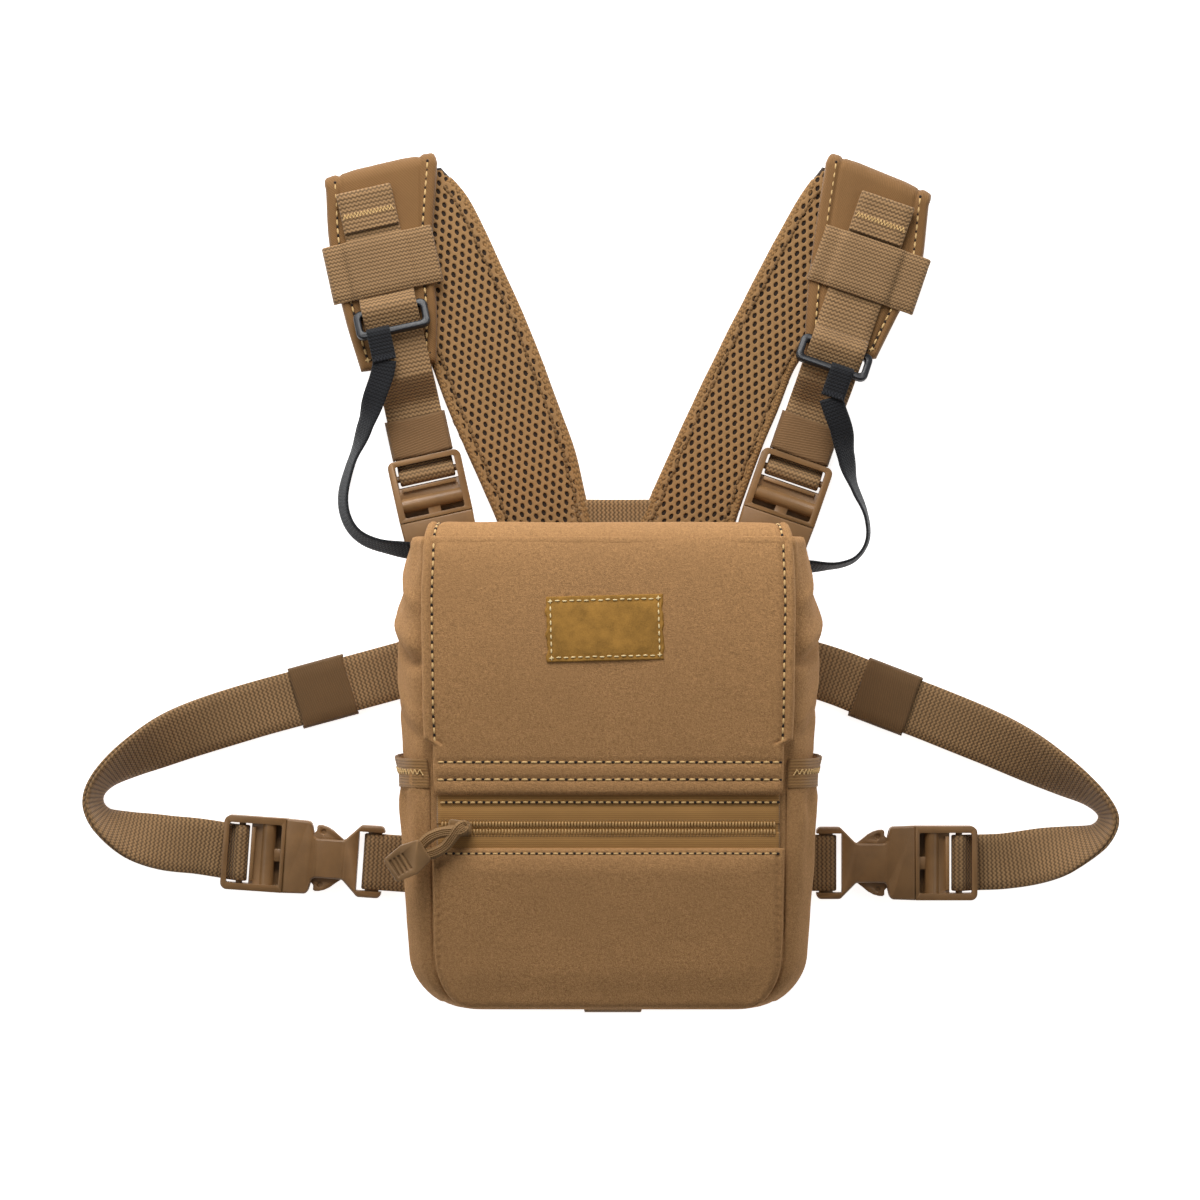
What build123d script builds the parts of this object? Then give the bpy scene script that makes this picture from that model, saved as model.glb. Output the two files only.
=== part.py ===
from build123d import *
import math
import os

# Binocular harness pack, lying on its back. Millimetres.
# +Z points out of the front panel, +Y to the lid hinge, +X to the pack's right as it is seen.
# The origin is on the floor under the middle of the pack, on the underside of the yoke.

# The pack's box.
pack_half_width = 87.0
pack_bottom = -103.0
pack_top = 103.5
pack_depth = 79.5
buckle_low = 0.7
buckle_thick = 8.6
back_lift = buckle_low + buckle_thick + 1.2
wall = 4.0
back_wall = 4.5
bottom_corner = 20.0
front_z = back_lift + pack_depth
wall_low = back_lift + back_wall
front_low = front_z - wall

# Fit of cloth on cloth and of moving pieces on their neighbours.
lay_gap = 0.3
run_gap = 0.45

# Lid.
lid_half_width = pack_half_width - 7.0
lid_thick = 4.5
lid_lower_edge = -8.0
lid_corner = 5.0
hinge_y = pack_top + run_gap + 0.8 + lid_thick / 2
hinge_z = back_lift + 3.0
lid_mid_z = front_z + run_gap + lid_thick / 2
magnet_radius = 7.0
magnet_thick = 2.0
magnet_offset = 42.0
magnet_y = 2.8
patch_width = 49.5
patch_height = 27.5
patch_thick = 1.2
patch_centre = (-1.5, 64.0)
patch_turn = 1.5

# Front pocket and its zipper.
tape_half_width = pack_half_width - 15.0
tape_top = -12.0
tape_bottom = -30.0
tape_thick = 1.4
chain_y = -21.7
chain_half_width = 2.3
chain_thick = 1.4
chain_half_length = tape_half_width - 4.0
pocket_half_width = pack_half_width - 13.0
pocket_thick = 4.5
pocket_low_edge = -98.0
pocket_corner = 16.0

# Zipper slider, its cord pull and the toggle on the pull.
slider_length = 10.0
slider_width = 8.6
slider_plate = 1.6
slider_x = 4.5 - chain_half_length
slider_travel = 2 * chain_half_length - 10.0
bail_rise = 4.5
bail_thick = 1.3
bail_span = 6.6
pull_turn = 211.0
pull_length = 17.0
pull_width = 10.6
pull_strand = 1.8
pull_thick = 2.0
toggle_length = 17.5
toggle_width = 14.0
toggle_thick = 6.4

# Side pockets.
pouch_gap = 4.6
pouch_wall = 1.4
pouch_top = 4.0
pouch_bottom = -82.0
pouch_low_z = 20.0
pouch_high_z = 80.0
binding_height = 11.0
binding_thick = 1.0

# Webbing and bands.
web_width = 25.0
web_thick = 1.5
tether_width = 10.5
tether_thick = 1.1

# Shoulder pads: the rear layer lies on the floor and folds over to the front layer.
pad_thick = 5.5
pad_floor = 0.5
pad_fold_radius = 5.8
pad_front_low = pad_floor + pad_thick + 0.6
pad_front_top = pad_front_low + pad_thick

# Yoke under the pack.
yoke_thick = 7.5
yoke_top = 95.0
yoke_middle = 4.0
yoke_right = ((47.0, yoke_top), (40.5, 82.0), (39.0, 70.0), (50.0, 58.0), (56.0, 44.0), (52.0, 26.0),
              (42.0, 4.0), (34.0, -14.0), (20.0, -22.0))

# Side-release buckle, in its own frame: y runs from the socket's end to the plug's end.
buckle_width = web_width + 8.2
socket_length = 44.2
buckle_length = 72.0
socket_waist = 17.6
waist_start = 17.0
waist_end = 30.6
socket_plate = 2.2
socket_wall = 2.3
socket_corner = 2.2
frame_corner = 3.0
web_slot = web_width + 1.6
tab_bar_start = 1.2
tab_bar_end = 7.4
tab_bar_thick = 3.0
tab_slot_end = 11.4
lever_gap = 0.3
lever_reach = 14.9
lever_shoulder = waist_end - 0.1
lever_tip = waist_start + 0.8
lever_pivot_y = 42.2
lever_pivot_x = 8.2
lever_arm = 2.4
lever_squeeze = 9.0
rail = 3.0
end_bar = 2.4
grip_bar = (48.6, 59.4)
grip_radius = 3.2
plug_floor = 1.8
roll_bar_y = 64.0
roll_bar_radius = 1.5
roll_outer = 3.1
unclip_travel = 28.0
frame_middle = 58.1

# Ring of the tether.
ring_width = web_width + 8.6
ring_length = 13.6
ring_bar = 3.2
ring_tilt = 20.0

buckle_top = buckle_low + buckle_thick
buckle_mid = buckle_low + buckle_thick / 2
half_web = web_width / 2


def block(low, high):
    """Box between two opposite corners."""
    size = [far - near for near, far in zip(low, high)]
    return Pos(*low) * Box(*size, align=(Align.MIN, Align.MIN, Align.MIN))


def plate(outline, z_low, thickness, corner=0.0):
    """Flat plate over a closed outline, its corners rounded where a radius is given."""
    face = Polygon(*outline, align=None)
    if corner:
        face = fillet(face.vertices(), corner)
    return Pos(0, 0, z_low) * extrude(face, thickness, dir=(0, 0, 1))


def rounded_plate(low, high, corner):
    """Plate between two opposite corners, with its four upright edges rounded."""
    body = block(low, high)
    return fillet(body.edges().filter_by(Axis.Z), corner)


def band_along(points, thick, width):
    """Webbing that follows points of (y, z), with its width across x."""
    path = trace(Polyline(*points), thick)
    return extrude(Plane.YZ * path, width / 2, both=True)


def band_across(points, thick, width):
    """Webbing that follows points of (x, z), with its width along y."""
    path = trace(Polyline(*points), thick)
    return extrude(Plane.XZ * path, width / 2, both=True)


def cross_rod(radius, length, y, z):
    """Round rod that lies across x."""
    return Pos(0, y, z) * Rot(0, 90, 0) * Cylinder(radius, length)


# ---------------------------------------------------------------- pack body

def pack_outline():
    """Outline of the pack's box in plan: square at the mouth, round at the bottom corners."""
    w = pack_half_width
    face = Polygon((-w, pack_bottom), (w, pack_bottom), (w, pack_top), (-w, pack_top), align=None)
    low_corners = face.vertices().sort_by(Axis.Y)[0:2]
    return fillet(low_corners, bottom_corner)


def wall_ring():
    """The two side panels and the bottom panel in one piece, open at the mouth."""
    outer = extrude(pack_outline(), front_low - wall_low)
    w = pack_half_width - wall
    inner = Polygon((-w, pack_bottom + wall), (w, pack_bottom + wall), (w, pack_top + 1), (-w, pack_top + 1),
                    align=None)
    inner = fillet(inner.vertices().sort_by(Axis.Y)[0:2], bottom_corner - wall)
    ring = outer - extrude(inner, front_low - wall_low)
    return Pos(0, 0, wall_low) * ring


def side_panel(side):
    """One side panel, down to where the rounded bottom corner begins."""
    far = side * (pack_half_width + 1)
    near = side * (pack_half_width - bottom_corner)
    low = (min(far, near), pack_bottom + bottom_corner, wall_low)
    high = (max(far, near), pack_top + 1, front_low)
    return wall_ring() & block(low, high)


def bottom_panel():
    w = pack_half_width + 1
    low = (-w, pack_bottom - 1, wall_low)
    high = (w, pack_bottom + bottom_corner, front_low)
    return wall_ring() & block(low, high)


def back_panel():
    return Pos(0, 0, back_lift) * extrude(pack_outline(), back_wall)


def front_panel():
    return Pos(0, 0, front_low) * extrude(pack_outline(), wall)


def front_pocket_panel():
    """Padded face of the front pocket, below the zipper."""
    w = pocket_half_width
    low = (-w, pocket_low_edge, front_z)
    body = block(low, (w, tape_bottom, front_z + pocket_thick))
    low_edges = body.edges().filter_by(Axis.Z).sort_by(Axis.Y)[0:2]
    body = fillet(low_edges, pocket_corner)
    return fillet(body.faces().sort_by(Axis.Z)[-1].edges(), pocket_thick / 3)


def zipper_tape():
    w = tape_half_width
    return block((-w, tape_bottom, front_z), (w, tape_top, front_z + tape_thick))


def zipper_coils():
    """The two coils, closed, as two flat rows with the parting line between them."""
    w = chain_half_length
    low_z = front_z + tape_thick
    rows = []
    for side in (-1, 1):
        near = chain_y + side * 0.15
        far = chain_y + side * chain_half_width
        rows.append(block((-w, min(near, far), low_z), (w, max(near, far), low_z + chain_thick)))
    return Compound(children=rows)


def side_pouch(side):
    """Stretch pocket on a side panel: a thin wall that stands off and is closed on three sides."""
    inner = pack_half_width
    outer = inner + pouch_gap + pouch_wall
    low = (inner, pouch_bottom, pouch_low_z)
    high = (outer, pouch_top, pouch_high_z)
    cavity_low = (inner - 1, pouch_bottom + pouch_wall, pouch_low_z + pouch_wall)
    cavity_high = (inner + pouch_gap, pouch_top + 1, pouch_high_z - pouch_wall)
    body = block(low, high) - block(cavity_low, cavity_high)
    return body if side > 0 else mirror(body, about=Plane.YZ)


def pocket_bindings():
    """Elastic binding on the mouth of each side pocket."""
    face = pack_half_width + pouch_gap + pouch_wall
    low = (face, pouch_top - binding_height, pouch_low_z)
    right = block(low, (face + binding_thick, pouch_top, pouch_high_z))
    return Compound(children=[right, mirror(right, about=Plane.YZ)])


def bottom_webbing():
    """Short webbing loop sewn under the bottom of the pack, for a hook or an accessory."""
    top = pack_bottom
    low = (-half_web, top - 2 * web_thick - 1.0, wall_low + 10)
    loop = block(low, (half_web, top, wall_low + 50))
    gap_low = (-half_web - 1, top - web_thick - 1.0, wall_low + 10 + 2 * web_thick)
    gap_high = (half_web + 1, top, wall_low + 50 - 2 * web_thick)
    return loop - block(gap_low, gap_high)


def front_magnets():
    """Two closure magnets against the inside of the front panel."""
    discs = []
    for side in (-1, 1):
        disc = Cylinder(magnet_radius, magnet_thick)
        discs.append(Pos(side * magnet_offset, magnet_y, front_low - magnet_thick / 2) * disc)
    return Compound(children=discs)


# ---------------------------------------------------------------- lid

def lid_shell():
    """Flap that covers the mouth and folds over the front, with two blind magnet seats in its hem."""
    points = ((lid_lower_edge, lid_mid_z), (hinge_y, lid_mid_z), (hinge_y, hinge_z))
    line = FilletPolyline(*points, radius=lid_corner)
    body = extrude(Plane.YZ * trace(line, lid_thick), lid_half_width, both=True)
    seat_low = lid_mid_z - lid_thick / 2
    for side in (-1, 1):
        seat = Cylinder(magnet_radius + lay_gap / 3, magnet_thick + lay_gap / 3,
                        align=(Align.CENTER, Align.CENTER, Align.MIN))
        body -= Pos(side * magnet_offset, magnet_y, seat_low) * seat
    return body


def lid_magnets():
    discs = []
    seat_top = lid_mid_z - lid_thick / 2 + magnet_thick + lay_gap / 3
    for side in (-1, 1):
        disc = Cylinder(magnet_radius, magnet_thick)
        discs.append(Pos(side * magnet_offset, magnet_y, seat_top - magnet_thick / 2) * disc)
    return Compound(children=discs)


def lid_patch():
    """Blank sewn label on the lid."""
    middle_z = lid_mid_z + lid_thick / 2 + patch_thick / 2
    label = Pos(0, 0, middle_z) * Box(patch_width, patch_height, patch_thick)
    label = fillet(label.edges().filter_by(Axis.Z), 1.2)
    return Pos(patch_centre[0], patch_centre[1], 0) * Rot(0, 0, patch_turn) * label


# ---------------------------------------------------------------- zipper slider and pull

chain_top = front_z + tape_thick + chain_thick
slider_low = chain_top + lay_gap
slider_top = slider_low + slider_plate
bail_z = slider_top + bail_rise - bail_thick / 2


def zipper_slider():
    """Slider plate with a low bail; its outline is broad at the nose and narrow at the tail."""
    length, nose, tail = slider_length, slider_width, slider_width * 0.62
    outline = ((slider_x - length / 2, chain_y - nose / 2), (slider_x + length / 2, chain_y - tail / 2),
               (slider_x + length / 2, chain_y + tail / 2), (slider_x - length / 2, chain_y + nose / 2))
    body = plate(outline, slider_low, slider_plate, 1.6)
    foot = bail_span / 2
    arch = ((-foot, slider_top - 0.4), (-foot, bail_z), (foot, bail_z), (foot, slider_top - 0.4))
    bail = band_across(arch, bail_thick, 2.2)
    return body + Pos(slider_x, chain_y, 0) * bail


def pull_place():
    """Frame of the pull: y runs from the bail to the toggle, turned as it lies."""
    return Pos(slider_x, chain_y, 0) * Rot(0, 0, pull_turn - 90)


cord_mid = slider_top + (bail_rise - bail_thick) / 2
toggle_low = front_z + pocket_thick + 0.6


def pull_cord():
    """Doubled cord that loops through the bail and ends in the toggle."""
    side = pull_width / 2
    half = pull_thick / 2
    inner = side - pull_strand
    loop = block((-side, -half, -half), (side, pull_length, half))
    window = block((-inner, half, -half - 1), (inner, pull_length * 0.62, half + 1))
    cord = Pos(0, 0, cord_mid) * (loop - window)
    return pull_place() * cord


def pull_toggle():
    """Two-part moulded toggle, ribbed on its outer face."""
    half = toggle_width / 2
    start = pull_length
    end = pull_length + toggle_length
    outline = ((-half * 0.72, start), (half * 0.72, start), (half, start + toggle_length * 0.45),
               (half * 0.8, end), (-half * 0.8, end), (-half, start + toggle_length * 0.45))
    body = plate(outline, toggle_low, toggle_thick, 1.6)
    groove_start = start + toggle_length * 0.5
    for step in range(4):
        y = groove_start + step * 2.0
        groove_low = (-half * 0.55, y, toggle_low + toggle_thick - 0.7)
        body -= block(groove_low, (half * 0.55, y + 0.9, toggle_low + toggle_thick + 1))
    return pull_place() * body


# ---------------------------------------------------------------- buckles

def socket_outline():
    """Plan of the socket: ring end, tapered neck, waist that bares the levers, wide mouth."""
    half = buckle_width / 2
    ring = half - 0.5
    waist = socket_waist / 2
    right = ((ring, 0), (ring, tab_slot_end - 0.8), (waist, waist_start + 0.8), (waist, waist_end + 0.6),
             (half - 0.4, waist_end + 2.4), (half, socket_length))
    left = tuple((-x, y) for x, y in reversed(right))
    return right + left


def buckle_socket():
    """Socket of the side-release buckle, hollow between its plates, with a bar for its tab."""
    face = Polygon(*socket_outline(), align=None)
    rounded = [corner for corner in face.vertices() if corner.Y < socket_length - 1]
    face = fillet(rounded, socket_corner)
    body = Pos(0, 0, buckle_low) * extrude(face, buckle_thick, dir=(0, 0, 1))
    top_edges = body.faces().sort_by(Axis.Z)[-1].edges()
    body = chamfer(top_edges, 0.7)
    low_edges = body.faces().sort_by(Axis.Z)[0].edges()
    body = chamfer(low_edges, 0.7)
    inner = buckle_width / 2 - socket_wall
    hollow_low = (-inner, waist_start, buckle_low + socket_plate)
    body -= block(hollow_low, (inner, socket_length + 1, buckle_top - socket_plate))
    slot = web_slot / 2
    body -= block((-slot, -1, buckle_low - 1), (slot, tab_bar_start, buckle_top + 1))
    bar_top = buckle_mid + tab_bar_thick / 2
    bar_low = buckle_mid - tab_bar_thick / 2
    body -= block((-slot, tab_bar_start, bar_top), (slot, tab_bar_end, buckle_top + 1))
    body -= block((-slot, tab_bar_start, buckle_low - 1), (slot, tab_bar_end, bar_low))
    body -= block((-slot, tab_bar_end, buckle_low - 1), (slot, tab_slot_end, buckle_top + 1))
    return body


plug_start = socket_length + 0.15


def buckle_plug():
    """Plug of the buckle: open adjuster frame with two bars, and the guide tongue."""
    half = buckle_width / 2
    frame = rounded_plate((-half, plug_start, buckle_low), (half, buckle_length, buckle_top), frame_corner)
    frame += block((-half, plug_start, buckle_low), (half, plug_start + frame_corner + 1.0, buckle_top))
    hole_low = (-half + rail, plug_start + 1.7, buckle_low - 1)
    frame -= rounded_plate(hole_low, (half - rail, buckle_length - end_bar, buckle_top + 1), 1.0)
    under_bar = (-half + rail, buckle_length - end_bar - 0.5, buckle_low - 1)
    frame -= block(under_bar, (half - rail, buckle_length + 1, buckle_low + 4.6))
    bar_end = half - rail + 0.4
    lip_start = grip_bar[1] - 1.6
    grip = cross_rod(grip_radius, 2 * bar_end, grip_bar[0] + grip_radius, buckle_top - grip_radius - 0.3)
    web = block((-bar_end, grip_bar[0] + grip_radius, buckle_mid), (bar_end, grip_bar[1], buckle_top - 2.4))
    lip = block((-bar_end + 2.0, lip_start, buckle_mid), (bar_end - 2.0, grip_bar[1], buckle_top - 1.0))
    grip = grip + web
    post = block((-2.8, plug_start + 1.0, buckle_mid - 0.4), (2.8, grip_bar[0] + 0.5, buckle_top - 2.2))
    roll_bar = cross_rod(roll_bar_radius, buckle_width - rail, roll_bar_y, buckle_mid)
    floor_half = half - rail + 0.4
    floor_low = (-floor_half, plug_start + 0.6, buckle_low)
    floor = block(floor_low, (floor_half, grip_bar[1] + 0.6, buckle_low + plug_floor))
    tongue_low = (-2.6, waist_start + 6.0, buckle_low + socket_plate + lever_gap)
    tongue = block(tongue_low, (2.6, plug_start + 0.5, buckle_top - socket_plate - lever_gap))
    return frame + floor + grip + lip + post + roll_bar + tongue


def buckle_lever(side):
    """Spring lever: an arm from the plug with a broad thumb head that shows at the waist."""
    reach = lever_reach
    inner = lever_pivot_x - lever_arm / 2
    outer = lever_pivot_x + lever_arm / 2
    root_y = lever_pivot_y + 1.6
    outline = ((inner, root_y), (outer, root_y), (outer + 1.2, lever_shoulder + 1.6),
               (reach - 2.6, lever_shoulder), (reach - 0.6, lever_shoulder), (reach, lever_shoulder - 0.8),
               (reach - 0.1, lever_shoulder - 2.6), (reach - 0.8, lever_shoulder - 5.0),
               (reach - 2.1, lever_shoulder - 7.4), (reach - 4.0, lever_shoulder - 9.7),
               (reach - 5.9, lever_tip + 0.5), (reach - 7.4, lever_tip), (reach - 8.6, lever_tip + 0.8),
               (inner - 0.6, lever_shoulder - 4.0))
    thick = buckle_thick - 2 * socket_plate - 2 * lever_gap
    low = buckle_low + socket_plate + lever_gap
    body = plate(outline, low, thick)
    dimple = Pos(reach - 3.1, lever_shoulder - 3.0, low + thick) * Cylinder(1.2, 1.4)
    body -= dimple
    return body if side > 0 else mirror(body, about=Plane.YZ)


def anchor_tab(reach, sewn_length):
    """Webbing tab around the socket's bar, with its ends sewn up to the back panel."""
    outer = tab_bar_thick / 2 + lay_gap / 2 + web_thick
    inner = tab_bar_thick / 2 + lay_gap / 2
    fold = tab_bar_end + lay_gap / 2
    body = block((-half_web, -reach, buckle_mid - outer), (half_web, fold + web_thick, buckle_mid + outer))
    body -= block((-half_web - 1, -reach - 1, buckle_mid - inner), (half_web + 1, fold, buckle_mid + inner))
    riser = block((-half_web, -reach, buckle_mid - inner), (half_web, -reach + sewn_length, back_lift))
    return body + riser


# ---------------------------------------------------------------- where the buckles and the shoulders lie

class Side:
    """Where the pieces of one side lie; distances run up the strap from the middle of the buckle's frame."""

    def __init__(self, name, hand, strap_origin, strap_turn, ring_at, keeper_at, lower_origin, lower_turn):
        self.name = name
        self.hand = hand
        self.strap_origin = strap_origin
        self.strap_turn = strap_turn
        self.ring_at = ring_at
        self.keeper_at = keeper_at
        self.lower_origin = lower_origin
        self.lower_turn = lower_turn

    def strap_place(self):
        """Frame of the front strap, its origin at the middle of the upper plug's frame."""
        return Pos(self.strap_origin[0], self.strap_origin[1], 0) * Rot(0, 0, self.strap_turn)

    def upper_place(self):
        return self.strap_place() * Pos(0, -frame_middle, 0)

    def lower_place(self):
        return Pos(self.lower_origin[0], self.lower_origin[1], 0) * Rot(0, 0, self.lower_turn)


left = Side("left", -1, (-80.0, 127.0), 12.5, 76.0, 101.0, (-pack_half_width - 13.9, -41.7), 86.0)
right = Side("right", 1, (81.0, 126.5), -19.0, 61.0, 103.5, (pack_half_width + 6.4, -41.9), -90.0)

# Plan outlines that each pad follows, from the free end of the front layer to its fold.
left_front_outline = ((-109.5, 178.0), (-75.8, 182.5), (-79.2, 233.5), (-77.0, 276.0), (-126.5, 263.0),
                      (-125.0, 233.5))
right_front_outline = ((87.8, 178.0), (121.0, 183.0), (140.0, 215.5), (145.0, 256.0), (99.0, 275.5),
                       (88.8, 215.5))
left_fold = ((-126.5, 263.0), (-77.0, 276.0))
right_fold = ((99.0, 275.5), (145.0, 256.0))
left_rear_outline = ((-123.5, 251.2), (-69.5, 265.3), (-62.0, 256.0), (-37.0, 200.0), (-15.0, 143.5),
                     (-3.4, yoke_top), (-43.0, yoke_top), (-49.4, 112.0), (-71.0, 160.0), (-77.0, 180.0),
                     (-98.0, 214.0))
right_rear_outline = ((140.2, 244.6), (91.8, 265.2), (86.4, 256.0), (59.4, 206.6), (18.9, 121.0),
                      (8.0, yoke_top), (51.0, yoke_top), (58.6, 117.0), (68.3, 146.0), (76.5, 164.0),
                      (84.5, 181.0), (116.0, 214.0))


# ---------------------------------------------------------------- shoulder pads and yoke

def front_pad(outline, fold):
    """Front layer of a shoulder pad with the roll where the pad folds back."""
    body = plate(outline, pad_front_low, pad_thick)
    (ax, ay), (bx, by) = fold
    length = math.hypot(bx - ax, by - ay)
    turn = math.degrees(math.atan2(by - ay, bx - ax))
    middle = Pos((ax + bx) / 2, (ay + by) / 2, pad_floor + pad_fold_radius) * Rot(0, 0, turn)
    roll = middle * Pos(0, -pad_fold_radius, 0) * Rot(0, 90, 0) * Cylinder(pad_fold_radius, length)
    return body + roll


def rear_pad(outline, side):
    """Rear layer of a shoulder pad, cut back where a wide buckle or wide webbing would meet it."""
    half = buckle_width / 2 + lay_gap
    buckle_room = block((-half, -frame_middle, -1), (half, buckle_length - frame_middle + lay_gap, 20))
    half = half_web + 1.6
    webbing_room = block((-half, 0, -1), (half, 38, 20))
    return plate(outline, pad_floor, pad_thick) - side.strap_place() * (buckle_room + webbing_room)


def harness_yoke():
    """Padded yoke that carries all four straps, under the pack."""
    outline = []
    for reach, y in yoke_right:
        outline.append((yoke_middle + reach, y))
    for reach, y in reversed(yoke_right):
        outline.append((yoke_middle - reach, y))
    body = plate(outline, 0.0, yoke_thick, 4.0)
    for strap in (strap_leg(left_strap_line, -1), strap_leg(right_strap_line, 1)):
        body -= strap
    return body


def yoke_bridge_webbing():
    """Band of webbing that ties the two pads together just above the pack."""
    outline = ((-6.2, 108.5), (13.2, 108.5), (18.3, 120.8), (-9.1, 120.8))
    return plate(outline, pad_floor + 2.0, web_thick * 1.4)


# ---------------------------------------------------------------- front straps

pad_web_z = pad_front_top + 0.1 + web_thick / 2
ring_web_z = pad_front_top + 4.4
lower_ply = buckle_mid - roll_outer - lay_gap
upper_ply = lower_ply + web_thick + 0.2
sleeve_start = 14.6
sleeve_end = 32.0
sleeve_thick = 0.9
sleeve_travel = 7.0
tail_end = 134.0
tab_length = 16.0
ring_lever = (ring_length - ring_bar) / 2
lower_bar_back = ring_lever * math.cos(math.radians(ring_tilt))
lower_bar_rise = ring_lever * math.sin(math.radians(ring_tilt))
under_bar_z = ring_web_z + lower_bar_rise - ring_bar - 1.9
over_bar_z = ring_web_z - lower_bar_rise + ring_bar + 0.7


def shoulder_webbing(side):
    """Webbing from the pad's end round the plug's bar and back up to its folded, sewn tail."""
    bar_y = roll_bar_y - frame_middle
    rise_start = sleeve_end + sleeve_travel + 0.8
    fixed = ((bar_y, lower_ply), (rise_start, lower_ply), (side.ring_at - 14.0, pad_front_low - web_thick))
    if side.hand < 0:
        fixed = ((bar_y, lower_ply), (rise_start, lower_ply), (50.0, pad_front_low - web_thick))
    tail = ((bar_y + roll_outer - 0.4, upper_ply + 1.3), (bar_y + roll_outer + 2.4, upper_ply),
            (rise_start - 0.4, upper_ply), (48.4, under_bar_z), (side.ring_at - ring_lever, under_bar_z),
            (side.ring_at + ring_lever + 1.7, over_bar_z), (side.ring_at + ring_lever + 5.9, pad_web_z),
            (tail_end, pad_web_z))
    roll = cross_rod(roll_outer, web_width, bar_y, buckle_mid)
    roll -= cross_rod(roll_bar_radius + 0.1, web_width + 2, bar_y, buckle_mid)
    stop = block((-half_web, tail_end - tab_length, pad_web_z + web_thick / 2 - 0.05),
                 (half_web, tail_end, pad_web_z + web_thick * 2.5))
    body = band_along(fixed, web_thick, web_width) + band_along(tail, web_thick, web_width) + roll + stop
    return side.strap_place() * body


def shoulder_sleeve(side):
    """Elastic sleeve that holds the two plies together; it can be slid up the strap."""
    inner_x = half_web + 0.35
    low = lower_ply - web_thick / 2 - 0.35
    high = upper_ply + web_thick / 2 + 0.35
    t = sleeve_thick
    body = block((-inner_x - t, sleeve_start, low - t + 0.1), (inner_x + t, sleeve_end, high + t))
    body -= block((-inner_x, sleeve_start - 1, low), (inner_x, sleeve_end + 1, high))
    return side.strap_place() * body


def keeper_band(side):
    """Wide band sewn to the pad at both sides, with the tail passing under it."""
    t = 1.4
    on_pad = pad_front_top + 0.05 + t / 2
    over = pad_web_z + web_thick / 2 + 0.35 + t / 2
    lean = 1.0 if side.hand < 0 else 2.0
    reach = 24.0
    profile = ((-reach + lean, on_pad), (-half_web - 2.2, on_pad), (-half_web - 1.0, over),
               (half_web + 1.0, over), (half_web + 2.2, on_pad), (reach + lean, on_pad))
    return side.strap_place() * Pos(0, side.keeper_at, 0) * band_across(profile, t, 26.0)


def tether_ring(side):
    """Rectangular ring: the webbing goes over its upper bar and behind its lower bar."""
    outer = fillet(Rectangle(ring_width, ring_length).vertices(), 3.4)
    inner = fillet(Rectangle(ring_width - 2 * ring_bar, ring_length - 2 * ring_bar).vertices(), 1.4)
    body = extrude(outer - inner, ring_bar / 2 - 0.1, both=True)
    body = chamfer(body.faces().sort_by(Axis.Z)[-1].edges(), 0.6)
    place = Pos(0, side.ring_at, ring_web_z) * Rot(-ring_tilt, 0, 0)
    return side.strap_place() * place * body


tether_offset = {-1: -7.0, 1: 5.0}
tether_end_reach = 17.2


def tether_end(side):
    """Sewn end of the tether, folded round the ring's lower bar."""
    inner = ring_bar * 0.68
    outer = inner + tether_thick
    y = side.ring_at - lower_bar_back
    z = ring_web_z + lower_bar_rise
    wrap = cross_rod(outer, tether_width, y, z) - cross_rod(inner, tether_width + 2, y, z)
    strip = ((y - inner - 0.2, z + 0.6), (y - 5.0, ring_web_z + 1.4),
             (side.ring_at - tether_end_reach, ring_web_z + 1.3))
    ply = band_along(strip, tether_thick * 2, tether_width)
    body = wrap + (ply - cross_rod(inner, tether_width + 2, y, z))
    return side.strap_place() * Pos(tether_offset[side.hand], 0, 0) * body


# ---------------------------------------------------------------- tethers

tether_radius = 2.4
tether_end_x = pack_half_width + 0.9
tether_end_z = back_lift + 2.2
tether_low_z = buckle_top - 1.0
left_tether_route = ((-99.6, 181.0, 18.0), (-104.5, 166.0, 16.6), (-109.5, 151.0, 10.6),
                     (-116.0, 136.0, 6.4), (-pack_half_width - 33.0, 120.0, 5.4),
                     (-pack_half_width - 28.0, 106.0, 5.8), (-pack_half_width - 15.0, 99.5, tether_low_z),
                     (-tether_end_x, 98.0, tether_end_z))
right_tether_route = ((99.9, 164.3, 18.0), (104.6, 152.0, 14.6), (106.5, 140.0, 9.0),
                      (pack_half_width + 23.0, 127.0, 6.0), (pack_half_width + 29.5, 114.0, 5.4),
                      (pack_half_width + 30.0, 100.0, 5.6), (pack_half_width + 19.0, 90.0, tether_low_z),
                      (tether_end_x, 91.0, tether_end_z))


def turn_at(before, corner, after):
    """Angle in degrees that a route turns through at one of its points."""
    first = Vector(*corner) - Vector(*before)
    second = Vector(*after) - Vector(*corner)
    return first.get_angle(second)


def cord_tube(name, route, radius):
    """Tube of straight runs joined by the largest tangent arcs that the runs allow."""
    radii = []
    for before, corner, after in zip(route, route[1:], route[2:]):
        run = min((Vector(*corner) - Vector(*before)).length, (Vector(*after) - Vector(*corner)).length)
        radii.append(0.45 * run / math.tan(math.radians(turn_at(before, corner, after) / 2)))
    path = FilletPolyline(*route, radius=radii)
    start = Plane(origin=path @ 0, z_dir=path % 0)
    tube = sweep(start * Circle(radius), path=path)
    print(name, "length", round(path.length, 1), "volume ratio",
          round(tube.volume / (math.pi * radius ** 2 * path.length), 3),
          "radii", [round(value, 1) for value in radii])
    return tube


# ---------------------------------------------------------------- side straps

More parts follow.
